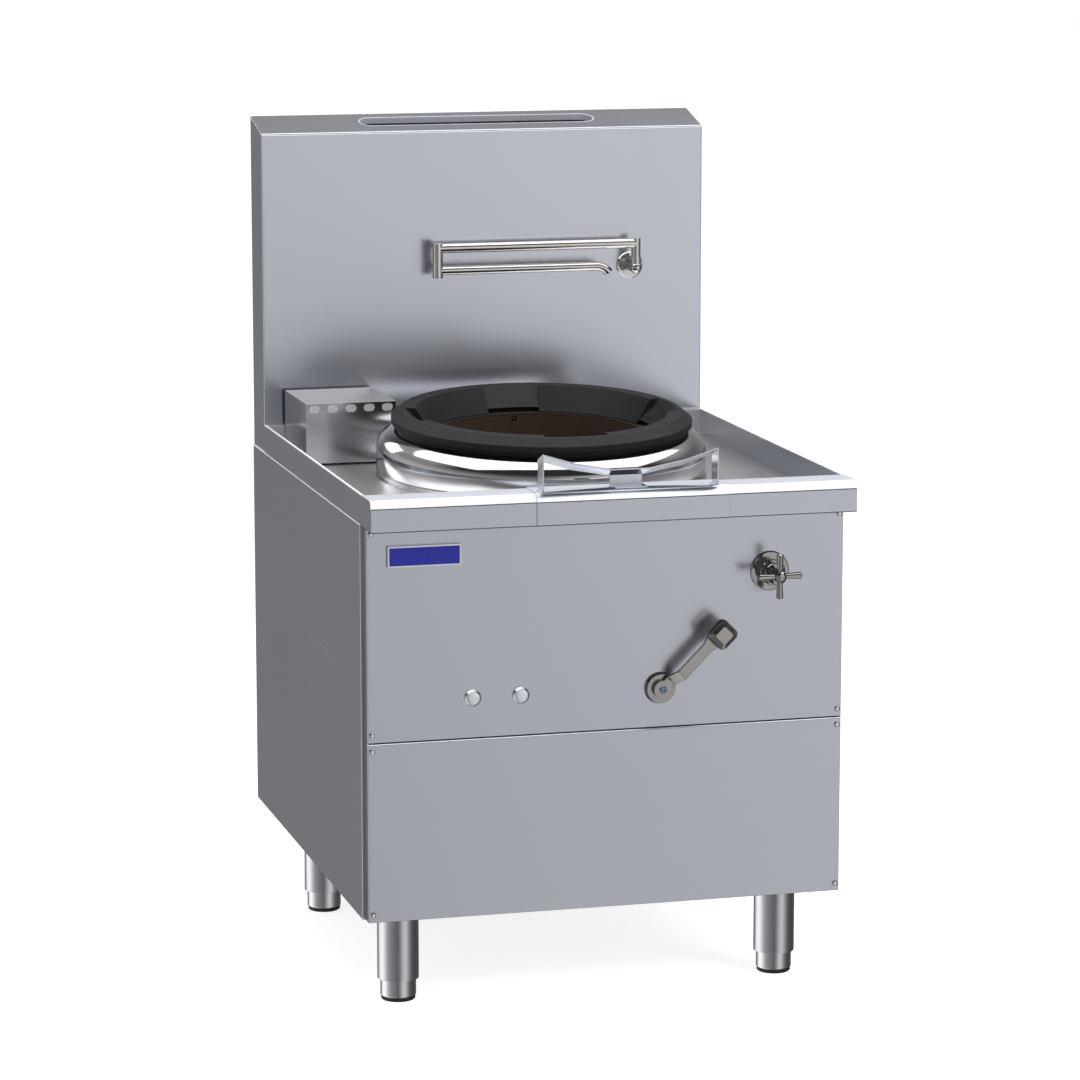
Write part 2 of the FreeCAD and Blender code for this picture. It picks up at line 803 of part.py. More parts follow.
def wok_ring():
    """The cast ring a wok sits in: a funnel, a sloping brim, a locating spigot and four slots."""
    spigot = collar_throat_radius - ring_spigot_clearance
    spigot_inner = spigot - ring_spigot_wall
    lip_top = ring_crest - ring_lip_drop
    web = ring_seat + ring_web_rise
    toe = ring_throat_radius + ring_toe
    profile = [
        (ring_throat_radius, ring_bottom), (ring_mouth_radius, ring_crest),
        (ring_crest_radius, ring_crest), (ring_radius, lip_top),
        (ring_radius, lip_top - ring_lip_band), (ring_shoulder_radius, lip_top - ring_lip_band),
        (ring_shoulder_radius, ring_seat), (spigot, ring_seat),
        (spigot, ring_seat - ring_spigot_depth), (spigot_inner, ring_seat - ring_spigot_depth),
        (spigot_inner, web), (toe + ring_web, web), (toe, ring_bottom),
    ]
    ring = turned_profile(profile)
    foot_height = ring_bottom + slot_foot_height
    above = ring_crest + ring_height
    below = ring_bottom - ring_height
    notch = [
        (0, above), (slot_crest_radius, above), (slot_crest_radius, ring_crest),
        (slot_foot_radius, foot_height), (slot_foot_radius + slot_foot_width, foot_height),
        (slot_foot_radius + slot_foot_width, below), (0, below),
    ]
    for quarter in range(4):
        cutter = turned_profile(notch, 2 * slot_half_angle)
        cutter.rotate(Vector(0, burner_y, 0), Vector(0, 0, 1), 90 * quarter - slot_half_angle)
        ring = ring.cut(cutter)
    return tilted(ring)


def flue_port():
    """The rectangular way out through the rear of the chamber."""
    half = flue_port_width / 2
    z0 = deck_floor + flue_port_bottom
    rear = burner_y + shell_outer_radius + past
    return box(-half, half, burner_y, rear, z0, z0 + flue_port_height)


def brick_lining():
    """The refractory sleeve of the combustion chamber, rimmed behind the ring, with its ports."""
    rim_top_z = lining_top + lining_rim_rise
    profile = [(lining_foot_radius, lining_bottom), (lining_inner_radius, lining_top),
               (lining_rim_radius, lining_top), (lining_rim_radius, rim_top_z),
               (lining_outer_radius, rim_top_z), (lining_outer_radius, lining_bottom)]
    port_height = deck_floor + lining_top - lining_port_drop
    port = rod(lining_port_radius, (0, burner_y, port_height), (0, 1, 0),
               lining_outer_radius + past)
    return tilted(turned_profile(profile).cut(flue_port()).cut(port))


def burner_core(radius):
    """A tall leaning cylinder on the burner's axis, for cutting."""
    core = rod(radius, (0, burner_y, deck_floor - far / 2), (0, 0, 1), far)
    return tilted(core)


def chamber_shell():
    """The steel pot round the lining, hung under the deck by its flange."""
    pot = turned_profile([
        (shell_mouth_radius, shell_bottom), (shell_mouth_radius, lining_bottom),
        (shell_inner_radius, lining_bottom), (shell_inner_radius, lining_top),
        (shell_outer_radius, lining_top), (shell_outer_radius, shell_bottom)])
    top = deck_floor - deck_sheet
    flange = rod(shell_flange_radius, (0, burner_y, top - shell_flange), (0, 0, 1), shell_flange)
    return tilted(pot.cut(flue_port())).fuse(flange.cut(burner_core(shell_inner_radius)))


def flue_duct():
    """The sheet duct from the chamber's rear to the foot of the splashback."""
    half = flue_duct_width / 2
    z0 = flue_duct_z
    z1 = z0 + flue_duct_height
    rear = splash_y + flue_duct_reach
    front = rear - flue_duct_height
    outer = prism_x([(burner_y, z0), (burner_y, z1), (front, z1), (front, cabinet_top),
                     (rear, cabinet_top), (rear, z0)], -half, half)
    low = z0 + sheet
    high = z1 - sheet
    inner = prism_x([(burner_y - past, low), (burner_y - past, high), (front + sheet, high),
                     (front + sheet, cabinet_top + past), (rear - sheet, cabinet_top + past),
                     (rear - sheet, low)], -half + sheet, half - sheet)
    return outer.cut(inner).cut(burner_core(shell_outer_radius + shell_gap))


def jet_places():
    """Centres of the burner jets: one in the middle, then rings of six and twelve."""
    places = [(0.0, 0.0)]
    for ring_number in (1, 2):
        count = 6 * ring_number
        for index in range(count):
            angle = 2 * math.pi * index / count
            radius = jet_pitch * ring_number
            places.append((radius * math.cos(angle), radius * math.sin(angle)))
    return places


def burner_body():
    """The cast burner: a drum, three lugs under the pot and a mixing tube with a bell mouth."""
    top = deck_floor + shell_bottom
    drum = rod(burner_radius, (0, burner_y, top - burner_height), (0, 0, 1), burner_height)
    half = burner_tab_width / 2
    lugs = []
    for index in range(3):
        lug = box(burner_radius - burner_tab, shell_mouth_radius + burner_tab, burner_y - half,
                  burner_y + half, top - burner_tab_thickness, top)
        lug.rotate(Vector(0, burner_y, 0), Vector(0, 0, 1), 30 + 120 * index)
        lugs.append(lug)
    tube_z = top - mixing_tube_drop
    inner_end = burner_y - burner_radius + mixing_tube_radius
    mouth_y = burner_y - burner_radius - mixing_tube_length
    throat_y = mouth_y + bell_length
    tube = rod(mixing_tube_radius, (0, inner_end, tube_z), (0, -1, 0), inner_end - mouth_y)
    bell = taper(mixing_tube_radius, bell_radius, (0, throat_y, tube_z), (0, -1, 0), bell_length)
    bore_radius = mixing_tube_radius - mixing_tube_wall
    bore = rod(bore_radius, (0, inner_end, tube_z), (0, -1, 0), inner_end - mouth_y)
    mouth = taper(bore_radius, bell_radius - bell_wall, (0, throat_y, tube_z), (0, -1, 0),
                  bell_length)
    return tilted(drum.fuse(lugs + [tube, bell]).cut(bore.fuse(mouth)))


def burner_jets():
    """The tapered jets that stand on the burner's drum."""
    z = deck_floor + shell_bottom
    jets = []
    for x, y in jet_places():
        jet = taper(jet_foot_radius, jet_tip_radius, (x, burner_y + y, z), (0, 0, 1), jet_height)
        bore = rod(jet_tip_radius - jet_wall, (x, burner_y + y, z + jet_height - jet_bore_depth),
                   (0, 0, 1), jet_bore_depth)
        jets.append(tilted(jet.cut(bore)))
    return Part.makeCompound(jets)


# ---------------------------------------------------------------- strainer and waste
def strainer_basket():
    """The lift-out scrap basket with a row of oblong holes along its front, on four low feet."""
    x0 = basket_x - basket_width / 2
    x1 = basket_x + basket_width / 2
    block = box(x0, x1, basket_front_y, basket_rear_y, basket_floor, basket_top)
    hollow = box(x0 + sheet, x1 - sheet, basket_front_y + sheet, basket_rear_y - sheet,
                 basket_floor + sheet, basket_top + past)
    basket = block.cut(hollow)
    hole_z = basket_top - basket_hole_drop
    for index in range(basket_hole_count):
        hole_x = basket_x + (index - (basket_hole_count - 1) / 2) * basket_hole_pitch
        basket = basket.cut(obround(hole_x, hole_z, basket_hole_length, basket_hole_height,
                                    basket_front_y - past, basket_front_y + sheet + past))
    for foot_x in (x0 + basket_foot_inset, x1 - basket_foot_inset):
        for foot_y in (basket_front_y + basket_foot_inset, basket_rear_y - basket_foot_inset):
            basket = basket.fuse(rod(basket_foot_radius, (foot_x, foot_y, deck_floor), (0, 0, 1),
                                     basket_foot))
    drains = []
    for across in range(-1, 2):
        for along in range(-1, 2):
            x = waste_x + across * drain_hole_pitch
            y = waste_y + along * drain_hole_pitch
            drains.append(rod(drain_hole_radius, (x, y, basket_floor - past), (0, 0, 1),
                              sheet + 2 * past))
    return basket.cut(Part.makeCompound(drains))


def waste_outlet():
    """The flanged waste under the basket and its straight pipe down through the base."""
    at = (waste_x, waste_y)
    neck_bottom = deck_floor - deck_sheet - waste_neck_depth
    spigot_top = pipe_end + spigot_length
    flange = rod(waste_flange_radius, at + (deck_floor,), (0, 0, 1), waste_flange)
    neck = rod(waste_neck_radius, at + (neck_bottom,), (0, 0, 1), deck_floor - neck_bottom)
    pipe = rod(waste_pipe_radius, at + (spigot_top,), (0, 0, 1), neck_bottom - spigot_top)
    spigot = rod(waste_spigot_radius, at + (pipe_end,), (0, 0, 1), spigot_length)
    bore_length = deck_floor + waste_flange - pipe_end
    bore = rod(waste_pipe_radius - waste_wall, at + (pipe_end,), (0, 0, 1), bore_length)
    return flange.fuse([neck, pipe, spigot]).cut(bore)


# ---------------------------------------------------------------- wok rest
def rest_saddle():
    """The sheet that clips over the front rail and carries the rest."""
    gap = saddle_clearance
    front = -rail_front - gap
    path = [(front, rail_bottom), (front, rim_top), (rail_rear + gap, rim_top),
            (rail_rear + gap, rim_top - saddle_hook)]
    x0 = rest_x - saddle_width / 2
    saddle = prism_x(folded(path, sheet), x0, x0 + saddle_width)
    inner_nose = rail_nose_radius + gap
    saddle = round_edges(saddle, inner_nose, lambda p: near(p.y, front) and near(p.z, rim_top))
    outer_y = front - sheet
    return round_edges(saddle, inner_nose + sheet,
                       lambda p: near(p.y, outer_y) and near(p.z, saddle_top))


def rest_cradle():
    """The cranked strip that takes the wok's belly, tipped down to the rear."""
    reach = rest_half_width - rest_sheet
    end_slope = (rest_end_height - rest_outer_height) / (rest_half_width - rest_bend_outer)
    end_height = rest_end_height - end_slope * rest_sheet
    half = [(rest_bend_inner, rest_middle_height), (rest_bend_outer, rest_outer_height),
            (reach, end_height)]
    heights = [(-x, z) for x, z in half[::-1]] + half
    path = [(rest_x + x, rim_top + z) for x, z in heights]
    outline = folded(path, -rest_sheet)
    ends = sorted({rest_x - reach, rest_x + reach})
    outline = [(min(max(x, ends[0]), ends[1]), z) for x, z in outline]
    front = face_of([(x, rest_front_y, z) for x, z in outline])
    return front.extrude(Vector(0, rest_strip_depth, -rest_strip_drop))


def rest_supports():
    """Two upright end plates and the middle leg with its turned foot."""
    rear_y = rest_front_y + rest_strip_depth
    top = rim_top + rest_end_height
    outline = [(rest_front_y, saddle_top), (rest_front_y, top), (rear_y, top - rest_strip_drop),
               (rear_y, saddle_top)]
    inner = rest_half_width - rest_sheet
    left = prism_x(outline, rest_x - rest_half_width, rest_x - inner)
    right = prism_x(outline, rest_x + inner, rest_x + rest_half_width)
    leg_top = rim_top + rest_middle_height - rest_strip_drop
    path = [(rear_y, leg_top), (rear_y, saddle_top + rest_sheet),
            (rest_foot_setback - rail_front, saddle_top + rest_sheet)]
    half = rest_leg_width / 2
    middle = prism_x(folded(path, rest_sheet), rest_x - half, rest_x + half)
    return Part.makeCompound([left, right, middle])


# ---------------------------------------------------------------- swing spout
def round_flange(x, z, base_y, radius, thickness, bore):
    """A thin round plate in front of base_y with a bevelled rim and a hole."""
    front = base_y - thickness
    plate = spun_y([(0, base_y), (radius, base_y), (radius, front + thickness / 2),
                    (radius - flange_bevel, front), (0, front)], x, z)
    return plate.cut(rod(bore, (x, base_y + past, z), (0, -1, 0), thickness + 2 * past))


def spout_wall_flange():
    """The round plate where the spout leaves the splashback."""
    return round_flange(spout_x, spout_z, splash_y, spout_flange_radius, spout_flange,
                        spout_pipe_radius + hole_clearance)


def hex_bar(x, z, flats, y0, y1):
    """A six-sided bar along Y with its flats upright."""
    corner = flats / 2 / math.cos(math.pi / 6)
    outline = []
    for index in range(6):
        angle = math.pi / 3 * index + math.pi / 6
        outline.append((x + corner * math.cos(angle), z + corner * math.sin(angle)))
    return prism_y(outline, y0, y1)


def spout_hex_nut():
    """The nut that holds the elbow's pipe at the wall."""
    front = splash_y - spout_flange - spout_nut_length
    nut = hex_bar(spout_x, spout_z, spout_nut_flats, front, splash_y - spout_flange)
    hole = rod(spout_pipe_radius + hole_clearance, (spout_x, splash_y, spout_z), (0, -1, 0), 30)
    return nut.cut(hole)


def spout_wall_fixing():
    """The round plate and the nut, as one set of fixings."""
    return Part.makeCompound([spout_wall_flange(), spout_hex_nut()])


def spout_elbow():
    """The fixed elbow: pipe out of the wall, ball and an upright collar bored for the riser."""
    pipe_rear = splash_y + 16
    pipe = rod(spout_pipe_radius, (spout_x, pipe_rear, spout_z), (0, -1, 0), pipe_rear - spout_y)
    ball = Part.makeSphere(spout_ball_radius, Vector(spout_x, spout_y, spout_z))
    collar = rod(riser_radius + 1, (spout_x, spout_y, spout_z), (0, 0, 1),
                 spout_ball_radius + spout_collar_height)
    top = spout_z + spout_ball_radius + spout_collar_height
    bore_length = swivel_pin_length + 1
    bore = rod(swivel_pin_radius + turning_clearance, (spout_x, spout_y, top - bore_length),
               (0, 0, 1), bore_length)
    return pipe.fuse([ball, collar]).cut(bore)


def spout_upper_arm():
    """The riser, the long upper tube and the upper half of the far coupling."""
    collar_z = spout_z + spout_ball_radius + spout_collar_height
    riser_z = collar_z + swivel_gap
    riser = rod(riser_radius, (spout_x, spout_y, riser_z), (0, 0, 1),
                spout_z + riser_height - riser_z)
    pin = rod(swivel_pin_radius, (spout_x, spout_y, collar_z - swivel_pin_length), (0, 0, 1),
              swivel_pin_length + 2)
    tube = rod(upper_arm_radius, (spout_x, spout_y, upper_arm_z), (-1, 0, 0), upper_arm_length)
    split = coupling_split + swivel_gap
    coupling_top = upper_arm_z + upper_arm_radius
    coupling = rod(coupling_radius, (elbow_x, spout_y, split), (0, 0, 1), coupling_top - split)
    elbow_pin = rod(swivel_pin_radius, (elbow_x, spout_y, coupling_split - swivel_pin_length),
                    (0, 0, 1), swivel_pin_length + 2)
    return riser.fuse([pin, tube, coupling, elbow_pin])


def spout_lower_arm():
    """The lower half of the coupling, the lower tube and its turned-down outlet."""
    coupling_bottom = spout_z - coupling_drop
    coupling = rod(coupling_radius, (elbow_x, spout_y, coupling_bottom), (0, 0, 1),
                   coupling_split - coupling_bottom)
    bend = math.radians(lower_arm_bend_angle)
    bend_x = elbow_x + lower_arm_straight
    centre_z = lower_arm_z - lower_arm_bend_radius

    def on_bend(angle):
        """A point of the outlet's centre line, and the way it points there."""
        return (Vector(bend_x + lower_arm_bend_radius * math.sin(angle), spout_y,
                       centre_z + lower_arm_bend_radius * math.cos(angle)))

    start = Vector(elbow_x, spout_y, lower_arm_z)
    run = Part.LineSegment(start, on_bend(0)).toShape()
    turn = Part.Arc(on_bend(0), on_bend(bend / 2), on_bend(bend)).toShape()
    section = Part.Wire(Part.makeCircle(lower_arm_radius, start, Vector(1, 0, 0)))
    tube = Part.Wire([run, turn]).makePipeShell([section], True, False)
    tip = on_bend(bend)
    back = Vector(-math.cos(bend), 0, math.sin(bend))
    mouth = Part.makeCylinder(spout_bore_radius, spout_bore_depth, tip, back)
    bore = rod(swivel_pin_radius + turning_clearance,
               (elbow_x, spout_y, coupling_split - swivel_pin_length - 1), (0, 0, 1),
               swivel_pin_length + 1)
    return coupling.fuse(tube).cut(bore).cut(mouth)


# ---------------------------------------------------------------- water tap
def tap_flange_plate():
    """The round plate under the tap's bonnet."""
    return round_flange(tap_x, tap_z, 0, tap_flange_radius, tap_flange,
                        tap_body_radius + hole_clearance)


def tap_valve():
    """The valve behind the panel and its stepped bonnet in front, bored for the spindle."""
    body = spun_y([
        (0, tap_body_depth), (tap_body_radius, tap_body_depth), (tap_body_radius, -tap_flange),
        (tap_bonnet_radius, -tap_flange), (tap_bonnet_radius, -tap_bonnet_reach + 1),
        (tap_bonnet_radius - 1, -tap_bonnet_reach), (tap_collar_radius, -tap_bonnet_reach),
        (tap_collar_radius, -tap_collar_reach + 1), (tap_collar_radius - 1, -tap_collar_reach),
        (tap_neck_radius, -tap_collar_reach), (tap_neck_radius, -tap_neck_reach),
        (0, -tap_neck_reach)], tap_x, tap_z)
    bore = rod(tap_spindle_radius + turning_clearance, (tap_x, -tap_neck_reach, tap_z), (0, 1, 0),
               tap_neck_reach + tap_spindle_depth)
    return body.cut(bore)


def tap_spindle():
    """The spindle from the valve to the handle."""
    return rod(tap_spindle_radius, (tap_x, tap_handle_y, tap_z), (0, 1, 0),
               tap_spindle_depth - tap_handle_y - swivel_gap)


def tap_handle():
    """The cross handle: a domed hub with four arms that flare towards their ends."""
    y = -tap_handle_y
    hub = spun_y([(0, -tap_hub_rear), (tap_hub_radius - 2.5, -tap_hub_rear),
                  (tap_hub_radius, -y + 5), (tap_hub_radius, -y - 3),
                  (tap_hub_radius * 0.86, -y - 6.5), (tap_hub_radius * 0.5, -tap_hub_front + 1.0),
                  (0, -tap_hub_front)], tap_x, tap_z)
    root = tap_hub_radius * 0.5
    shoulder = tap_arm_reach - 1.5
    outline = [(root, 0), (root, tap_arm_root), (shoulder, tap_arm_tip),
               (tap_arm_reach, tap_arm_tip - 1.5), (tap_arm_reach, 0)]
    arm = face_of([(x, tap_handle_y, z) for x, z in outline])
    arm = arm.revolve(Vector(0, tap_handle_y, 0), Vector(1, 0, 0), 360)
    arms = []
    for quarter in range(4):
        turned = arm.copy()
        turned.rotate(Vector(0, tap_handle_y, 0), Vector(0, 1, 0), 90 * quarter)
        arms.append(turned.translated(Vector(tap_x, 0, tap_z)))
    handle = hub.fuse(arms)
    socket = rod(tap_spindle_radius + turning_clearance, (tap_x, -tap_hub_rear, tap_z), (0, -1, 0),
                 y - tap_hub_rear)
    return handle.cut(socket)


# ---------------------------------------------------------------- knee lever and gas valve
def lever_flange_plate():
    """The thick tapered plate in front of the gas valve."""
    plate = taper(lever_flange_foot, lever_flange_face, (lever_x, 0, lever_z), (0, -1, 0),
                  lever_flange)
    hole = rod(valve_spindle_radius + turning_clearance, (lever_x, 1, lever_z), (0, -1, 0),
               lever_flange + 2)
    return plate.cut(hole)


def gas_valve():
    """The valve body behind the panel, bored for its spindle."""
    half = valve_width / 2
    block = box(lever_x - half, lever_x + half, sheet, sheet + valve_depth,
                lever_z - valve_height / 2, lever_z + valve_height / 2)
    block = round_edges(block, 6, lambda p: p.y > sheet + 1)
    bore = rod(valve_spindle_radius + turning_clearance, (lever_x, 0, lever_z), (0, 1, 0),
               valve_spindle_depth + 1)
    return block.cut(bore)


def gas_valve_spindle():
    """The spindle that the knee lever turns."""
    front = -lever_flange - lever_socket_depth
    return rod(valve_spindle_radius, (lever_x, front, lever_z), (0, 1, 0),
               valve_spindle_depth - front)


def rounded_square(half, corner, y):
    """A closed square outline with rounded corners in the plane at y, centred on the lever's end."""
    edges = []
    straight = half - corner
    diagonal = corner * math.sqrt(0.5)
    for index in range(4):
        turn = math.pi / 2 * index

        def at(a, b):
            """A point of this side, turned into place."""
            return Vector(lever_length + a * math.cos(turn) - b * math.sin(turn), y,
                          a * math.sin(turn) + b * math.cos(turn))

        edges.append(Part.LineSegment(at(half, -straight), at(half, straight)).toShape())
        middle = at(straight + diagonal, straight + diagonal)
        edges.append(Part.Arc(at(half, straight), middle, at(straight, half)).toShape())
    return Part.Wire(edges)


def knee_lever():
    """The cranked lever with its thick faceted knee pad, made along X and then turned up."""
    hub_rear = -lever_flange - swivel_gap
    hub = rod(lever_hub_radius, (0, hub_rear, 0), (0, -1, 0), lever_hub_front + hub_rear)
    crank = [(0, -lever_hub_front), (lever_crank_start, -lever_hub_front),
             (lever_crank_end, -lever_bar_front), (lever_length, -lever_bar_front)]
    outline = folded(crank, lever_plate)
    points = [(x, y, -lever_width / 2) for x, y in outline]
    bar = face_of(points).extrude(Vector(0, 0, lever_width))
    bar = round_edges(bar, lever_edge_radius, lambda p: True)
    spread = lever_neck_width / 2
    half_bar = lever_width / 2
    neck = face_of([(lever_neck_start, -lever_bar_front, -half_bar),
                    (lever_length, -lever_bar_front, -spread),
                    (lever_length, -lever_bar_front, spread),
                    (lever_neck_start, -lever_bar_front, half_bar)])
    neck = neck.extrude(Vector(0, lever_plate, 0))
    pad_rear = pad_front - pad_thickness
    cheek = pad_half - pad_face_half
    sections = [(pad_half - 3, pad_corner - 1.5, -pad_rear), (pad_half, pad_corner, -pad_rear - 5),
                (pad_half, pad_corner, -pad_front + cheek),
                (pad_half - cheek * 0.25, pad_corner - 1, -pad_front + cheek * 0.45),
                (pad_face_half, pad_corner - 5, -pad_front)]
    pad = Part.makeLoft([rounded_square(*section) for section in sections], True, True)
    lever = hub.fuse([bar, neck, pad])
    socket = rod(valve_spindle_radius + turning_clearance, (0, hub_rear, 0), (0, -1, 0),
                 lever_flange + lever_socket_depth + hub_rear)
    lever = lever.cut(socket)
    lever.rotate(Vector(0, 0, 0), Vector(0, 1, 0), -lever_angle)
    return lever.translated(Vector(lever_x, 0, lever_z))


# ---------------------------------------------------------------- push buttons
def switch_body(x):
    """The bevelled ring in front of the panel and the barrel behind it, bored for the button."""
    front = -button_ring_front
    body = spun_y([
        (0, switch_barrel_depth), (switch_barrel_radius, switch_barrel_depth),
        (switch_barrel_radius, 0), (button_ring_radius, 0), (button_ring_radius, front + button_ring_bevel),
        (button_ring_radius - button_ring_bevel, front), (0, front)], x, button_z)
    bore = rod(button_radius + turning_clearance, (x, front, button_z), (0, 1, 0),
               button_rear + button_travel + 2 - front)
    return body.cut(bore)


def switch_bodies():
    """The two switch bodies, for the pilot valve and the igniter."""
    return Part.makeCompound([switch_body(pilot_button_x), switch_body(igniter_button_x)])


def push_button(x):
    """A round cap with a slightly domed face."""
    return spun_y([(0, button_rear), (button_radius, button_rear),
                   (button_radius, -button_front + button_dome),
                   (button_radius * 0.75, -button_front + button_dome * 0.3), (0, -button_front)],
                  x, button_z)


# ---------------------------------------------------------------- pipes inside the cabinet
def with_spigot(pipe, x, radius, bore):
    """Adds the wider end that a hose screws on to, and opens it."""
    spigot = rod(radius, (x, inlet_y, pipe_end), (0, 0, 1), spigot_length)
    hole = rod(bore, (x, inlet_y, pipe_end - past), (0, 0, 1), bore_depth + past)
    return pipe.fuse(spigot).cut(hole)


def gas_inlet_pipe():
    """From under the base, forward along the cabinet and up to the gas valve."""
    valve_bottom = lever_z - valve_height / 2
    route = [(gas_inlet_x, inlet_y, pipe_end + past), (gas_inlet_x, inlet_y, gas_run_z),
             (gas_inlet_x, gas_run_y, gas_run_z), (lever_x, gas_run_y, gas_run_z),
             (lever_x, gas_run_y, valve_bottom)]
    pipe = bent_pipe(route, gas_pipe_radius, gas_pipe_bend)
    return with_spigot(pipe, gas_inlet_x, gas_spigot_radius, gas_pipe_bore)


def burner_gas_pipe():
    """From the gas valve up to the injector in front of the burner's mixing tube."""
    height = shell_bottom - mixing_tube_drop
    tip_y = -burner_radius - mixing_tube_length - injector_gap
    tip = Vector(*tilt_point(0, tip_y, height))
    block_front = Vector(*tilt_point(0, tip_y - injector_length - injector_block, height))
    heading = tip.sub(block_front).normalize()
    block = Part.makeCylinder(injector_block_radius, injector_block, block_front, heading)
    injector = Part.makeCylinder(injector_radius, injector_length + 1, tip, heading * -1)
    centre = block_front + heading * (injector_block / 2)
    valve_top = lever_z + valve_height / 2
    route = [(lever_x, centre.y, valve_top), (lever_x, centre.y, centre.z), (0, centre.y, centre.z)]
    return block.fuse([injector, bent_pipe(route, burner_pipe_radius, burner_pipe_bend)])


def pilot_line():
    """The thin tube from the pilot valve to the pilot head beside the burner jets."""
    head = Vector(*tilt_point(-burner_radius - pilot_head_gap, 0, shell_bottom - burner_height))
    start = (pilot_button_x, switch_barrel_depth, button_z)
    route = [start, (pilot_button_x, switch_barrel_depth + pilot_run, button_z),
             (head.x, head.y, button_z), (head.x, head.y, head.z)]
    tube = bent_pipe(route, pilot_tube_radius, pilot_tube_bend)
    tip = rod(pilot_head_radius, (head.x, head.y, head.z), (0, 0, 1), pilot_head_height)
    return tube.fuse(tip)


def tap_body_space():
    """The room that the tap's valve takes behind the panel."""
    return rod(tap_body_radius, (tap_x, 0, tap_z), (0, 1, 0), tap_body_depth)


def water_inlet_pipe():
    """From under the base, forward along the cabinet and up to the tap's valve."""
    route = [(tap_x, inlet_y, pipe_end + past), (tap_x, inlet_y, water_run_z),
             (tap_x, water_run_y, water_run_z), (tap_x, water_run_y, tap_z - tap_body_radius / 2)]
    pipe = bent_pipe(route, water_pipe_radius, water_pipe_bend)
    pipe = with_spigot(pipe, tap_x, water_spigot_radius, water_pipe_bore)
    return pipe.cut(tap_body_space())


def water_riser_pipe():
    """From the tap's valve to the rear, up inside the splashback and forward to the elbow."""
    route = [(tap_x, water_run_y, tap_z + tap_body_radius / 2), (tap_x, water_run_y, riser_run_z),
             (spout_x, riser_run_y, riser_run_z), (spout_x, riser_run_y, spout_z),
             (spout_x, splash_y + spout_pipe_back, spout_z)]
    return bent_pipe(route, riser_pipe_radius, riser_pipe_bend).cut(tap_body_space())


# ---------------------------------------------------------------- every node and its shape
def all_nodes():
    """Every named piece of the range."""
    nodes = {
        "left_side_panel": side_panel(-1),
        "right_side_panel": side_panel(1),
        "rear_panel": rear_panel(),
        "upper_front_panel": upper_front_panel(),
        "lower_front_panel": lower_front_panel(),
        "front_panel_screws": panel_screws(),
        "base_panel": base_panel(),
        "front_rail": front_rail(),
        "left_rim": side_rim(-1),
        "right_rim": side_rim(1),
        "hob_deck": hob_deck(),
        "splashback_front": splashback_front(),
        "splashback_left_side": splashback_side(-1),
        "splashback_right_side": splashback_side(1),
        "splashback_cap": splashback_cap(),
        "splashback_rear_cover": splashback_rear_cover(),
        "flue_duct": flue_duct(),
        "burner_collar": burner_collar(),
        "chamber_shell": chamber_shell(),
        "brick_lining": brick_lining(),
        "burner_body": burner_body(),
        "burner_jets": burner_jets(),
        "wok_ring": wok_ring(),
        "strainer_basket": strainer_basket(),
        "waste_outlet": waste_outlet(),
        "rest_saddle": rest_saddle(),
        "rest_cradle": rest_cradle(),
        "rest_supports": rest_supports(),
        "spout_wall_fixing": spout_wall_fixing(),
        "spout_elbow": spout_elbow(),
        "spout_upper_arm": spout_upper_arm(),
        "spout_lower_arm": spout_lower_arm(),
        "tap_flange": tap_flange_plate(),
        "tap_valve": tap_valve(),
        "tap_spindle": tap_spindle(),
        "tap_handle": tap_handle(),
        "lever_flange": lever_flange_plate(),
        "gas_valve": gas_valve(),
        "gas_valve_spindle": gas_valve_spindle(),
        "knee_lever": knee_lever(),
        "switch_bodies": switch_bodies(),
        "pilot_button": push_button(pilot_button_x),
        "igniter_button": push_button(igniter_button_x),
        "gas_inlet_pipe": gas_inlet_pipe(),
        "burner_gas_pipe": burner_gas_pipe(),
        "pilot_line": pilot_line(),
        "water_inlet_pipe": water_inlet_pipe(),
        "water_riser_pipe": water_riser_pipe(),
    }
    corners = {"front_left": (-leg_x, leg_inset_front), "front_right": (leg_x, leg_inset_front),
               "rear_left": (-leg_x, leg_rear_y), "rear_right": (leg_x, leg_rear_y)}
    for corner, (x, y) in corners.items():
        nodes["leg_" + corner] = leg(x, y)
        nodes["foot_" + corner] = foot(x, y)
        nodes["foot_pad_" + corner] = foot_pad(x, y)
    return nodes


def write_all():
    """Moves each piece to the final origin and writes its file."""
    os.makedirs("parts", exist_ok=True)
    for name, shape in all_nodes().items():
        placed = shape.translated(Vector(0, -centre_y, 0))
        placed.exportStep("parts/" + name + ".step")
        bounds = placed.BoundBox
        print(name, "valid" if placed.isValid() else "INVALID", len(placed.Solids), "solid,",
              round(placed.Volume), "mm3, z", round(bounds.ZMin, 1), round(bounds.ZMax, 1))


write_all()
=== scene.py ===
# %% [markdown]
# # A gas wok range, dressed for its portrait
# The imported CAD model already has every pressed sheet, tube and casting in its real place and at its
# real size, in metres, with the floor at Z = 0 and the cook standing on the -Y side. This notebook
# loads that frame, gives every piece a finish, adds the few small pieces that are too fine for the
# CAD model and puts three finer pieces in the place of CAD ones. No CAD piece is moved and no CAD
# mesh is changed.

# %% Load the frame
import bpy
import bmesh
import math
from mathutils import Matrix, Vector


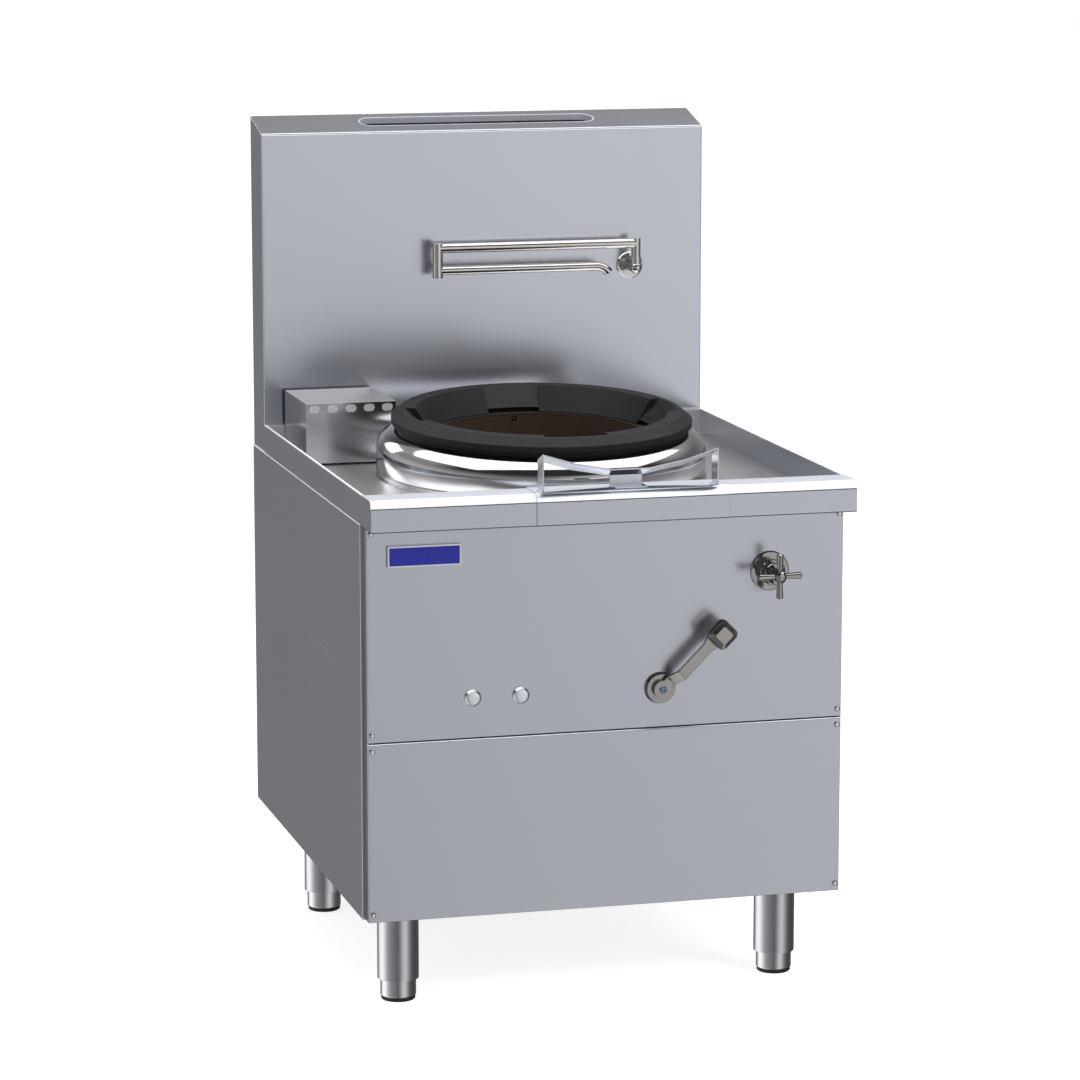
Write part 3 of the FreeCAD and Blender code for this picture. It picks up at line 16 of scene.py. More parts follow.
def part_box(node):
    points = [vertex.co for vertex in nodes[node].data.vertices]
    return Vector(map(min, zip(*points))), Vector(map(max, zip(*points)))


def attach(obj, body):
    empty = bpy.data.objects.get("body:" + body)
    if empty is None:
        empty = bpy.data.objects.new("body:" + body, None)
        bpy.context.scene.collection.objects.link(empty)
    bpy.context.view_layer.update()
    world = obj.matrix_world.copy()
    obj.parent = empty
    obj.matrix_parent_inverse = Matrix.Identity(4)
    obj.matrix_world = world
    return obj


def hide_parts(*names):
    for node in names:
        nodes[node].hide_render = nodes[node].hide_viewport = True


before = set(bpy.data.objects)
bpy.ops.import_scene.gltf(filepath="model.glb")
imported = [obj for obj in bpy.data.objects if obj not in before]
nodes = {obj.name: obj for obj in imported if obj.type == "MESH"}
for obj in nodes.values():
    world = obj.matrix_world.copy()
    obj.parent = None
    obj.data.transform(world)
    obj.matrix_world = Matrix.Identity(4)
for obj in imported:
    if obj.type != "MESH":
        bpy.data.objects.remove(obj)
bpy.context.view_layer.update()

# %% [markdown]
# ## The camera first
# The photograph is a studio shot taken from a little left of the middle and above the hob, with a
# long lens, so the upright edges hardly lean together. The camera could be aimed by eye, but its
# place here was solved from the straight edges of the cabinet, so the picture and the model line up.
# A long lens far away is what keeps the front almost square.

# %% Camera
camera_data = bpy.data.cameras.new("studio_camera")
camera_data.sensor_width = 36.0
camera_data.lens = 136.6
camera_data.clip_end = 200.0
camera = bpy.data.objects.new("studio_camera", camera_data)
camera.location = (-1.561, -5.78675, 1.67165)
camera.rotation_euler = (math.radians(90 - 10.06), 0.0, math.radians(-15.08))
bpy.context.scene.collection.objects.link(camera)
bpy.context.scene.camera = camera
bpy.context.scene.view_settings.view_transform = "Standard"
print("camera looks", [round(v, 3) for v in camera.rotation_euler.to_matrix() @ Vector((0, 0, -1))])

# %% [markdown]
# ## A small tool for wiring materials
# Every finish below is a node tree: a few textures steer colour, roughness and bump on one Principled
# shader. Typing each link by hand hides the idea, so this cell makes a tiny helper that adds a node,
# sets its values and links its inputs in one go. All textures read Object coordinates. Each object
# sits at the origin, so these are real metres, and a grain of half a millimetre is the same width
# on every piece.

# %% Material helper
class Finish:
    """One material under construction: its tree, its Principled shader and its metre grid."""

    def __init__(self, name):
        self.material = bpy.data.materials.new(name)
        self.material.use_nodes = True
        self.tree = self.material.node_tree
        self.shader = self.tree.nodes["Principled BSDF"]
        self.grid = self.tree.nodes.new("ShaderNodeTexCoord").outputs["Object"]

    def add(self, kind, inputs=None, **settings):
        """Adds a node. Inputs are numbers, colours or the outputs of other nodes."""
        node = self.tree.nodes.new(kind)
        for name, value in settings.items():
            setattr(node, name, value)
        for name, value in (inputs or {}).items():
            if isinstance(value, bpy.types.NodeSocket):
                self.tree.links.new(value, node.inputs[name])
            else:
                node.inputs[name].default_value = value
        return node

    def noise(self, scale, detail=3.0, rough=0.55):
        """Noise on the metre grid; scale is one number, or three for a stretched grain."""
        place = self.grid
        if not isinstance(scale, (int, float)):
            place = self.add("ShaderNodeMapping", {"Vector": self.grid, "Scale": scale}).outputs[0]
            scale = 1.0
        made = self.add("ShaderNodeTexNoise", {"Vector": place, "Scale": scale, "Detail": detail,
                                               "Roughness": rough})
        return made.outputs["Fac"]

    def spread(self, value, low, high, start=0.0, end=1.0):
        """Stretches values from start..end to low..high; most of a noise lies within 0.3 to 0.7."""
        made = self.add("ShaderNodeMapRange", {"Value": value, "From Min": start, "From Max": end,
                                               "To Min": low, "To Max": high})
        return made.outputs["Result"]

    def calc(self, operation, first, second=0.0):
        """A sum, product, limit or comparison of two values."""
        return self.add("ShaderNodeMath", {0: first, 1: second}, operation=operation).outputs[0]

    def plus(self, first, second):
        """The sum of two values."""
        return self.calc("ADD", first, second)

    def vector(self, operation, inputs, output="Vector"):
        """One step of vector arithmetic; a length or a dot product has the output Value."""
        return self.add("ShaderNodeVectorMath", inputs, operation=operation).outputs[output]

    def split(self, vector):
        """The X, Y and Z values of a vector."""
        return self.add("ShaderNodeSeparateXYZ", {"Vector": vector}).outputs

    def tint(self, factor, first, second):
        """A colour between two colours."""
        made = self.add("ShaderNodeMix", {"Factor": factor}, data_type="RGBA")
        for name, value in (("A", first), ("B", second)):
            socket = [s for s in made.inputs if s.name == name and s.type == "RGBA"][0]
            if isinstance(value, bpy.types.NodeSocket):
                self.tree.links.new(value, socket)
            else:
                socket.default_value = (*value, 1.0)
        return [s for s in made.outputs if s.type == "RGBA"][0]

    def bump(self, height, strength, depth, under=None):
        """A surface normal raised and lowered by a texture."""
        inputs = {"Height": height, "Strength": strength, "Distance": depth}
        if under is not None:
            inputs["Normal"] = under
        return self.add("ShaderNodeBump", inputs).outputs["Normal"]

    def softened(self, radius):
        """A normal that rounds sharp corners, as a file or a press does."""
        return self.add("ShaderNodeBevel", {"Radius": radius}, samples=4).outputs["Normal"]

    def wire(self, **inputs):
        """Sets or links the shader's own inputs, with spaces written as underscores."""
        for name, value in inputs.items():
            socket = self.shader.inputs[name.replace("_", " ")]
            if isinstance(value, bpy.types.NodeSocket):
                self.tree.links.new(value, socket)
            elif isinstance(value, tuple):
                socket.default_value = (*value, 1.0)
            else:
                socket.default_value = value
        return self.material


def shade(colour, amount):
    """A colour made lighter or darker by a factor."""
    return tuple(min(1.0, c * amount) for c in colour)


def dress(material, *names):
    """Puts a material on CAD nodes, by assigning to their material slots."""
    for name in names:
        slots = nodes[name].material_slots
        if not slots:
            nodes[name].data.materials.append(material)
        for slot in slots:
            slot.material = material
        finished.add(name)


finished = set()
print("helper ready")

# %% [markdown]
# ## Brushed stainless steel
# The cabinet is satin stainless sheet. Its look comes from grain: thousands of fine scratches that
# all run one way and blur what the sheet mirrors. One way to get it is an anisotropic shader, but
# that needs a tangent on every piece. Here the grain is a noise stretched along one axis, fine across
# and long along, and it steers roughness, bump and a very little colour. A slow noise adds the faint
# clouds of handling.
#
# A fold in real sheet is a small round roll that mirrors some bright part of the room as a thin line.
# A Bevel node rounds each fold a little. Where the photograph shows a clear bright line, the normal
# is also tipped over the last millimetres of the sheet, towards the window of cloth at the left or
# towards the lit panel overhead.

# %% Brushed steel
def strip(axis, edge, start, full):
    """A strip beside an edge: the metres from it at which a roll starts and at which it is full."""
    return axis, edge + start, edge + full


def rolled(finish, normal, lift, *strips):
    """A normal that tips by lift where all the strips meet, as on the soft roll of a fold."""
    places = finish.split(finish.grid)
    tip = lift
    for axis, start, full in strips:
        amount = finish.spread(places[axis], 0.0, 1.0, start, full)
        tip = finish.vector("SCALE", {0: tip, "Scale": amount})
    return finish.vector("NORMALIZE", {0: finish.vector("ADD", {0: normal, 1: tip})})


steel = (0.545, 0.565, 0.625)
# How softly the painted shade under a hem fades out at its top.
painted_shade_blur = 0.0003


def brushed_steel(name, colour, grain, roughness, clouds=0.02, relief=0.002, hollow=None, rolls=(),
                  painted_shade_top=None):
    """Satin sheet whose grain runs along X or Y; dull in a hollow, and painted dark as shade below its
    hem's top.
    """
    finish = Finish(name)
    fine = {"X": (6, 1500, 1500), "Y": (1500, 2, 1500)}[grain]
    broad = {"X": (3, 190, 190), "Y": (190, 1, 190)}[grain]
    scratches = finish.noise(fine, 2.0)
    bands = finish.noise(broad, 3.0)
    cloud = finish.noise(2.6, 3.0, 0.5)
    lines = finish.plus(finish.spread(scratches, -0.005, 0.005, 0.3, 0.7),
                        finish.spread(bands, -0.003, 0.003, 0.3, 0.7))
    rough = finish.plus(finish.spread(cloud, roughness - clouds, roughness + clouds, 0.3, 0.7), lines)
    metal = 1.0
    if hollow is not None:
        mask = hollow(finish)
        rough = finish.plus(rough, finish.spread(mask, 0.0, 0.3))
        metal = finish.spread(mask, 1.0, 0.35)
    tone = finish.plus(finish.spread(bands, 0.0, 0.7, 0.3, 0.7),
                       finish.spread(scratches, 0.0, 0.3, 0.3, 0.7))
    normal = finish.bump(bands, relief, 0.00005, finish.softened(0.0008))
    for roll in rolls:
        normal = rolled(finish, normal, *roll)
    skin = finish.tint(tone, shade(colour, 0.995), shade(colour, 1.005))
    # Below the hem's top the colour goes nearly black: painted shade for the dark line under the rail's
    # folded lower edge.
    if painted_shade_top is not None:
        painted_shade_under_hem = finish.spread(finish.split(finish.grid)["Z"], 1.0, 0.0, painted_shade_top, painted_shade_top + painted_shade_blur)
        skin = finish.tint(painted_shade_under_hem, skin, shade(colour, 0.2))
    return finish.wire(Base_Color=skin, Metallic=metal, Roughness=rough, Normal=normal)


half_sheet = 0.0006
basket_low, basket_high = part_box("strainer_basket")
flue_slot_y, flue_slot_half_width, flue_slot_half_run = 0.38225, 0.01925, 0.16775


def basket_inside(finish):
    """1 on the basket's inner faces, which lie a sheet's thickness inside its outer box."""
    middle = (basket_low + basket_high) / 2
    half = (basket_high - basket_low) / 2
    centred = finish.vector("SUBTRACT", {0: finish.grid, 1: middle})
    away = finish.split(finish.vector("ABSOLUTE", {0: centred}))
    across = finish.calc("LESS_THAN", away["X"], half.x - half_sheet)
    along = finish.calc("LESS_THAN", away["Y"], half.y - half_sheet)
    return finish.calc("MULTIPLY", across, along)


def flue_inside(finish):
    """1 on the lip that is folded down round the flue slot."""
    places = finish.split(finish.grid)
    run = finish.calc("ABSOLUTE", places["X"])
    past_run = finish.calc("MAXIMUM", finish.plus(run, -flue_slot_half_run), 0.0)
    across = finish.plus(places["Y"], -flue_slot_y)
    offset = finish.add("ShaderNodeCombineXYZ", {"X": past_run, "Y": across})
    away = finish.vector("LENGTH", {0: offset.outputs[0]}, "Value")
    return finish.calc("LESS_THAN", away, flue_slot_half_width + half_sheet)


to_window, to_sky = (0.0, -0.55, 0.0), (0.0, 0.0, 0.9)
panel_steel = brushed_steel("front_steel", steel, "X", 0.25)
dress(panel_steel, "upper_front_panel", "rear_panel", "splashback_rear_cover")

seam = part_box("lower_front_panel")[1].z
lower_steel = brushed_steel("lower_front_steel", steel, "X", 0.25,
                            rolls=[(to_sky, strip("Z", seam, -0.0030, -0.0020))])
dress(lower_steel, "lower_front_panel")

side_low, side_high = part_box("left_side_panel")
side_steel = brushed_steel("side_steel", steel, "Y", 0.26, 0.01, 0.0005,
                           rolls=[(to_window, strip("Z", side_high.z, -0.0013, -0.0008)),
                                  (to_window, strip("Y", side_low.y, 0.0022, 0.0014))])
dress(side_steel, "left_side_panel", "right_side_panel")

rim_steel_colour = shade(steel, 1.02)
rim_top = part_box("left_rim")[1].z
rim_steel = brushed_steel("rim_steel", rim_steel_colour, "Y", 0.25, 0.01, 0.0005,
                          rolls=[(to_window, strip("Z", rim_top, -0.0016, -0.0010))])
dress(rim_steel, "left_rim", "right_rim")

# The rail's face is made deeper by face_drop further on, and the hem's top, below which shade is painted,
# is measured from there.
rail_low, rail_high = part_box("front_rail")
face_drop, rail_foot, shaded_hem_height = 0.0064, 0.7090, 0.0012
rail_nose = [(to_sky, strip("Z", rail_high.z, -0.0130, -0.0100), strip("Y", rail_low.y, 0.0080, 0.0030)),
             ((0.0, -0.3, 0.0), strip("Z", rail_high.z, -0.0010, -0.0003))]
rail_steel = brushed_steel("rail_steel", rim_steel_colour, "X", 0.25, rolls=rail_nose,
                           painted_shade_top=rail_foot - face_drop + shaded_hem_height)

splash_colour = shade(steel, 1.07)
cap_low, cap_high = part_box("splashback_cap")
splash_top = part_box("splashback_front")[1].z
splash_steel = brushed_steel("splash_steel", splash_colour, "X", 0.21,
                             rolls=[(to_sky, strip("Z", splash_top, -0.0016, -0.0010))])
dress(splash_steel, "splashback_front")
splash_side_steel = brushed_steel("splash_side_steel", steel, "Y", 0.26, 0.01, 0.0005,
                                  rolls=[(to_window, strip("Y", cap_low.y, 0.0030, 0.0020))])
dress(splash_side_steel, "splashback_left_side", "splashback_right_side")
cap_edges = [(to_sky, strip("Z", cap_high.z, -0.0018, -0.0012), strip("Y", cap_low.y, 0.004, 0.003)),
             ((0.0, -0.9, 0.0), strip("Y", cap_low.y, 0.0040, 0.0020))]
cap_steel = brushed_steel("cap_steel", splash_colour, "X", 0.21, hollow=flue_inside, rolls=cap_edges)
dress(cap_steel, "splashback_cap")

# The hob's top takes a much paler copy of the steel colour. This is painted light: it brightens the face
# beyond the other sheets of the same steel.
dress(brushed_steel("lightened_deck_steel", (0.90, 0.90, 0.91), "X", 0.30), "hob_deck")
basket_steel = brushed_steel("basket_steel", (0.66, 0.665, 0.69), "X", 0.15, hollow=basket_inside)
dress(basket_steel, "strainer_basket")
dress(brushed_steel("rest_steel", shade(steel, 1.15), "X", 0.2), "rest_cradle", "rest_supports")
print("brushed pieces:", len(finished))

# %% [markdown]
# ## Bright and plated metal
# The collar, legs, spout and tap are smooth enough to mirror the room. A perfect mirror looks fake:
# real plating carries fingerprints and very fine polishing marks. So roughness moves a little on a
# slow smudge noise, and a faint fine bump breaks up the reflections. The knee lever has the same tree
# with a duller, darker plating, and the buttons have it with a duller, paler one.

# %% Plated metal
def plated(name, colour, roughness, smudge=0.03, ripple=0.02):
    """Bright metal with faint smudges."""
    finish = Finish(name)
    marks = finish.noise(45.0, 4.0, 0.65)
    polish = finish.noise(900.0, 2.0)
    rough = finish.plus(finish.spread(marks, roughness - smudge, roughness + smudge, 0.35, 0.65),
                        finish.spread(polish, -0.01, 0.01, 0.3, 0.7))
    smear = finish.spread(marks, 0.0, 1.0, 0.35, 0.65)
    tone = finish.tint(smear, shade(colour, 0.95), shade(colour, 1.04))
    normal = finish.bump(polish, ripple, 0.0001, finish.softened(0.0005))
    return finish.wire(Base_Color=tone, Metallic=1.0, Roughness=rough, Normal=normal)


dress(plated("spout_plating", (0.66, 0.635, 0.61), 0.09),
      "spout_wall_fixing", "spout_elbow", "spout_upper_arm", "spout_lower_arm")
dress(plated("tap_plating", (0.40, 0.385, 0.37), 0.10),
      "tap_flange", "tap_valve", "tap_spindle", "tap_handle")
dress(plated("lever_plating", (0.39, 0.372, 0.355), 0.2, 0.04),
      "lever_flange", "knee_lever", "gas_valve_spindle")
dress(plated("button_plating", (0.80, 0.83, 0.90), 0.24, 0.04),
      "switch_bodies", "pilot_button", "igniter_button")
dress(plated("screw_plating", (0.80, 0.81, 0.84), 0.09), "front_panel_screws")
print("plated pieces done, finished so far:", len(finished))

# %% [markdown]
# ## Spun collar and polished tubes
# The big collar round the burner was spun on a lathe, so its polishing marks are rings. A wave
# texture in rings would do, but a noise read only along the radius and the height gives uneven
# rings, like real tool marks. The legs are drawn tube: their marks run up and down, so their noise
# is stretched along Z. The collar's finish is made here and goes on a piece that comes later.

# %% Collar and legs
collar_low, collar_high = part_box("burner_collar")
collar_middle = (collar_low + collar_high) / 2


def spun_metal(name, colour, roughness, centre):
    """Bright metal with rings of fine tool marks about an upright axis."""
    finish = Finish(name)
    placed = finish.add("ShaderNodeMapping", {"Vector": finish.grid,
                                              "Location": (-centre[0], -centre[1], 0.0)}).outputs[0]
    places = finish.split(placed)
    flat = finish.add("ShaderNodeCombineXYZ", {"X": places["X"], "Y": places["Y"]}).outputs[0]
    radius = finish.vector("LENGTH", {0: flat}, "Value")
    along = finish.add("ShaderNodeCombineXYZ", {"X": radius, "Y": places["Z"]}).outputs[0]
    marks = finish.add("ShaderNodeTexNoise", {"Vector": along, "Scale": 800.0, "Detail": 2.0})
    rings = marks.outputs["Fac"]
    smudge = finish.noise(14.0, 4.0, 0.6)
    rough = finish.plus(finish.spread(smudge, roughness - 0.02, roughness + 0.02, 0.35, 0.65),
                        finish.spread(rings, -0.01, 0.01, 0.3, 0.7))
    tone = finish.tint(smudge, shade(colour, 0.96), shade(colour, 1.03))
    return finish.wire(Base_Color=tone, Metallic=1.0, Roughness=rough,
                       Normal=finish.bump(rings, 0.02, 0.00005))


def drawn_tube(name, colour, roughness):
    """Polished tube with fine marks along its length."""
    finish = Finish(name)
    marks = finish.noise((700, 700, 12), 2.0)
    smudge = finish.noise(30.0, 3.0)
    rough = finish.plus(finish.spread(smudge, roughness - 0.03, roughness + 0.03, 0.35, 0.65),
                        finish.spread(marks, -0.03, 0.03, 0.3, 0.7))
    tone = finish.tint(marks, shade(colour, 0.95), shade(colour, 1.04))
    return finish.wire(Base_Color=tone, Metallic=1.0, Roughness=rough,
                       Normal=finish.bump(marks, 0.05, 0.0001, finish.softened(0.0005)))


corners = ["front_left", "front_right", "rear_left", "rear_right"]
collar_polish = spun_metal("collar_polish", (0.68, 0.68, 0.685), 0.10, collar_middle)
dress(drawn_tube("leg_polish", (0.60, 0.615, 0.65), 0.17), *["leg_" + corner for corner in corners])
dress(drawn_tube("foot_polish", (0.63, 0.645, 0.67), 0.15), *["foot_" + corner for corner in corners])
print("collar centre in mm:", [round(v * 1000, 1) for v in collar_middle])

# %% [markdown]
# ## Cast iron and fired brick
# The ring is sand-cast iron under a thin black coat: dull, with a fine sandy skin and slow dips left
# by the mould. The lining inside is fired refractory, brown, rough and pitted. Neither mirrors the
# room, so the bump does most of the work and roughness stays fairly high. The ring's colour also
# varies a little where woks have rubbed it.

# %% Cast iron, brick, rubber
tilt = math.radians(3.2)
burner_axis = Vector((0.0, -math.sin(tilt), math.cos(tilt)))


def cast_iron(name, dark, light, roughness, depth):
    """Sand-cast iron."""
    finish = Finish(name)
    sand = finish.noise(700.0, 4.0, 0.6)
    mould = finish.noise(60.0, 3.0, 0.5)
    tone = finish.plus(finish.spread(sand, 0.0, 0.45, 0.3, 0.7),
                       finish.spread(mould, 0.0, 0.55, 0.3, 0.7))
    rough = finish.spread(mould, roughness - 0.07, roughness + 0.07, 0.3, 0.7)
    under = finish.bump(mould, 0.10, depth * 4, finish.softened(0.0012))
    return finish.wire(Base_Color=finish.tint(tone, dark, light), Roughness=rough,
                       Normal=finish.bump(sand, 0.35, depth, under), Specular_IOR_Level=0.22)


# Where the painted shade on the lining's rim starts and where it is full, measured down from the rim.
rim_shade_start, rim_shade_full = 0.0080, 0.0030


def fired_brick(name, dark, light, rim):
    """Rough brown refractory with small pits, painted dark as shade on the last millimetres below its rim.
    """
    finish = Finish(name)
    grit = finish.noise(320.0, 5.0, 0.65)
    stain = finish.noise(9.0, 4.0, 0.6)
    pits = finish.add("ShaderNodeTexVoronoi", {"Vector": finish.grid, "Scale": 220.0}).outputs["Distance"]
    tone = finish.plus(finish.spread(grit, 0.0, 0.4, 0.3, 0.7),
                       finish.spread(stain, 0.0, 0.6, 0.3, 0.7))
    height = finish.plus(grit, finish.spread(pits, 0.0, 0.8, 0.0, 0.35))
    along_axis = finish.vector("DOT_PRODUCT", {0: finish.grid, 1: burner_axis}, "Value")
    # The lining's top millimetres, in the gap under the ring, are darkened as painted shade.
    painted_rim_shade = finish.spread(along_axis, 0.0, 1.0, rim - rim_shade_start, rim - rim_shade_full)
    brick = finish.tint(tone, dark, light)
    return finish.wire(Base_Color=finish.tint(painted_rim_shade, brick, shade(dark, 0.4)),
                       Roughness=finish.spread(grit, 0.82, 0.98, 0.3, 0.7),
                       Normal=finish.bump(height, 0.4, 0.0006))


def rubber(name):
    """Black moulded rubber."""
    finish = Finish(name)
    skin = finish.noise(600.0, 3.0)
    dust = finish.noise(35.0, 3.0)
    return finish.wire(Base_Color=finish.tint(dust, (0.010, 0.010, 0.011), (0.026, 0.026, 0.027)),
                       Roughness=finish.spread(dust, 0.5, 0.72, 0.3, 0.7),
                       Normal=finish.bump(skin, 0.2, 0.0002))


ring_iron = cast_iron("ring_iron", (0.008, 0.0083, 0.0087), (0.015, 0.0153, 0.016), 0.52, 0.00012)
dress(ring_iron, "wok_ring")
burner_iron = cast_iron("burner_iron", (0.045, 0.042, 0.040), (0.095, 0.088, 0.080), 0.7, 0.0003)
dress(burner_iron, "burner_body")
lining_rim = max(burner_axis.dot(v.co) for v in nodes["brick_lining"].data.vertices)
lining_brick = fired_brick("lining_brick", (0.029, 0.015, 0.010), (0.052, 0.028, 0.018), lining_rim)
dress(lining_brick, "brick_lining")
dress(rubber("pad_rubber"), *["foot_pad_" + corner for corner in corners])
print("castings, brick and rubber done")

# %% [markdown]
# ## The pieces held inside
# Nobody sees the pipework until a panel comes off, but it shows from below and through the ring, so it
# gets real finishes too: galvanised sheet with its frost-like spangle, copper gone brown, dull brass
# and grey iron pipe. Voronoi cells make the spangle, because zinc freezes in just such patches.

# %% Inner finishes
def galvanised(name, colour):
    """Zinc-coated sheet with crystal patches."""
    finish = Finish(name)
    cells = finish.add("ShaderNodeTexVoronoi", {"Vector": finish.grid, "Scale": 95.0})
    patch = finish.add("ShaderNodeSeparateColor", {"Color": cells.outputs["Color"]}).outputs["Red"]
    tone = finish.tint(patch, shade(colour, 0.88), shade(colour, 1.1))
    return finish.wire(Base_Color=tone, Metallic=1.0, Roughness=finish.spread(patch, 0.36, 0.52),
                       Normal=finish.bump(patch, 0.05, 0.0002))


def aged_metal(name, fresh, stained, roughness, metal=1.0):
    """Pipe metal with a patchy skin of age."""
    finish = Finish(name)
    patches = finish.noise(28.0, 5.0, 0.65)
    fine = finish.noise(420.0, 3.0)
    mask = finish.spread(patches, 0.0, 1.0, 0.38, 0.64)
    rough = finish.plus(finish.spread(patches, roughness, roughness + 0.2, 0.35, 0.65),
                        finish.spread(fine, -0.04, 0.04, 0.3, 0.7))
    return finish.wire(Base_Color=finish.tint(mask, fresh, stained), Metallic=metal,
                       Roughness=rough, Normal=finish.bump(fine, 0.12, 0.0002))


dress(galvanised("zinc_sheet", (0.42, 0.43, 0.45)), "base_panel", "flue_duct", "chamber_shell")
dress(aged_metal("copper_pipe", (0.62, 0.30, 0.17), (0.30, 0.15, 0.09), 0.28),
      "water_inlet_pipe", "water_riser_pipe", "pilot_line")
dress(aged_metal("dull_brass", (0.50, 0.37, 0.17), (0.30, 0.22, 0.11), 0.32), "gas_valve", "burner_jets")
dress(aged_metal("iron_pipe", (0.30, 0.30, 0.31), (0.20, 0.19, 0.18), 0.45, 0.6),
      "gas_inlet_pipe", "burner_gas_pipe", "waste_outlet")
print("nodes still bare:", sorted(set(nodes) - finished))

# %% [markdown]
# ## Turned pieces
# Rings, beads and screw heads are all turned shapes. Each starts as a short outline of points in one
# plane, which bmesh's spin carries round an axis; a full spin with use_merge closes the seam. The
# result is cleaned, its normals are made to face outwards and its faces are shaded smooth.

# %% A helper for turned pieces
def finish_piece(mesh, name, material, body, smooth=True):
    """Turns a bmesh into an object with one material slot that rides on a body."""
    bmesh.ops.remove_doubles(mesh, verts=mesh.verts, dist=1e-6)
    bmesh.ops.recalc_face_normals(mesh, faces=mesh.faces)
    for face in mesh.faces:
        face.smooth = smooth
    data = bpy.data.meshes.new(name)
    mesh.to_mesh(data)
    mesh.free()
    data.materials.append(material)
    piece = bpy.data.objects.new(name, data)
    bpy.context.scene.collection.objects.link(piece)
    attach(piece, body)
    low = Vector(min(v.co[i] for v in data.vertices) for i in range(3))
    high = Vector(max(v.co[i] for v in data.vertices) for i in range(3))
    print(name, "faces", len(data.polygons), "size mm", [round(v * 1000, 2) for v in high - low])
    return piece


def turned(outline, centre, axis, steps=48, closed=False):
    """Spins (radius, height) points about an axis through centre; returns the bmesh."""
    mesh = bmesh.new()
    axis = Vector(axis).normalized()
    across = axis.orthogonal().normalized()
    made = [mesh.verts.new(centre + across * r + axis * h) for r, h in outline]
    edges = [mesh.edges.new(pair) for pair in zip(made, made[1:])]
    if closed:
        edges.append(mesh.edges.new((made[-1], made[0])))
    bmesh.ops.spin(mesh, geom=made + edges, cent=centre, axis=axis, angle=2 * math.pi,
                   steps=steps, use_merge=True)
    return mesh


print("turning helper ready")

# %% [markdown]
# ## A deeper face for the rail
# Held against the photograph, the rail's front face hangs a few millimetres lower than the CAD's, and
# so does the saddle clipped over it: their lower edge just covers the top row of screws. The CAD
# meshes stay as they are. Copies of the two take their places, with only the lower edge moved down.
# That edge is every corner between the foot of the face and just past the sheet's thickness above.

# %% Rail face
foot_below, foot_above = 0.0002, 0.0014
for name in ("front_rail", "rest_saddle"):
    mesh = bmesh.new()
    mesh.from_mesh(nodes[name].data)
    moved = [v for v in mesh.verts if rail_foot - foot_below < v.co.z < rail_foot + foot_above]
    bmesh.ops.translate(mesh, verts=moved, vec=(0.0, 0.0, -face_drop))
    deeper = finish_piece(mesh, "deep_" + name, rail_steel, "range", smooth=False)
    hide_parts(name)
    finished.add(name)
    print(name, "lower edge moved on", len(moved), "corners")

# %% [markdown]
# ## The lever's centre screw
# A domed blued screw holds the knee lever on its spindle. It sits in the middle of the hub, so its
# place is read from the spindle's own box, and it rides on the lever's body. Its recess is an inset
# of the top face pushed inwards.

# %% Lever screw
panel_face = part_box("upper_front_panel")[0].y
spindle_low, spindle_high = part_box("gas_valve_spindle")
hub_face, recess_border, recess_depth = 0.0160, 0.0004, 0.0010
pivot = (spindle_low + spindle_high) / 2
pivot.y = panel_face - hub_face
toward_cook = Vector((0, -1, 0))
screw_blue = plated("blued_steel", (0.30, 0.36, 0.47), 0.2)
dome = [(0.0056, 0.0), (0.0056, 0.0006), (0.0050, 0.0014), (0.0038, 0.0021), (0.0022, 0.0025)]
head = turned(dome, pivot, toward_cook, 24)
top_ring = [edge for edge in head.edges if edge.is_boundary
            and all((v.co - pivot).dot(toward_cook) > dome[-1][1] / 2 for v in edge.verts)]
top = bmesh.ops.contextual_create(head, geom=top_ring)["faces"]
bmesh.ops.inset_region(head, faces=top, thickness=recess_border)
bmesh.ops.translate(head, verts=top[0].verts, vec=toward_cook * -recess_depth)
finish_piece(head, "lever_screw", screw_blue, "knee_lever")

# %% [markdown]
# ## The plain badge plate
# A small plate sits at the top left of the panel: a thin satin plate with a raised border round a
# smooth enamel field. It could be a painted rectangle, but a real sunk field catches a shadow along
# its top edge. It starts as a cube scaled to size. Its front face is inset for the border and pushed
# in while it is still a rectangle, and then its four corners are rounded.

# %% Badge plate
plate_size = (0.105, 0.0050, 0.030)
plate_x, plate_z = -0.2655, 0.661
plate_border, field_step, field_depth, plate_corner = 0.0034, 0.0002, 0.0004, 0.0015


def plain_plate():
    """A thin plate on the panel, its field sunk inside a raised border."""
    mesh = bmesh.new()
    bmesh.ops.create_cube(mesh, size=1.0)
    bmesh.ops.scale(mesh, verts=mesh.verts, vec=plate_size)
    middle = (plate_x, panel_face - plate_size[1] / 2, plate_z)
    bmesh.ops.translate(mesh, verts=mesh.verts, vec=middle)
    front = [f for f in mesh.faces if f.normal.y < -0.9]
    bmesh.ops.inset_region(mesh, faces=front, thickness=plate_border, depth=0.0)
    bmesh.ops.inset_region(mesh, faces=front, thickness=field_step, depth=-field_depth)
    for face in front:
        face.material_index = 1
    through = [e for e in mesh.edges if abs(e.verts[0].co.y - e.verts[1].co.y) > plate_size[1] / 2]
    bmesh.ops.bevel(mesh, geom=through, offset=plate_corner, offset_type="OFFSET", segments=4,
                    profile=0.5, affect="EDGES", material=-1)
    return mesh


def enamel(name, colour):
    """Smooth coloured enamel with a faint grain of powder in it."""
    finish = Finish(name)
    wave = finish.noise(60.0, 2.0)
    powder = finish.noise(1800.0, 2.0)
    tone = finish.tint(powder, shade(colour, 0.9), shade(colour, 1.1))
    return finish.wire(Base_Color=tone, Roughness=finish.spread(wave, 0.24, 0.32, 0.3, 0.7),
                       Normal=finish.bump(powder, 0.04, 0.0001), Specular_IOR_Level=0.3)


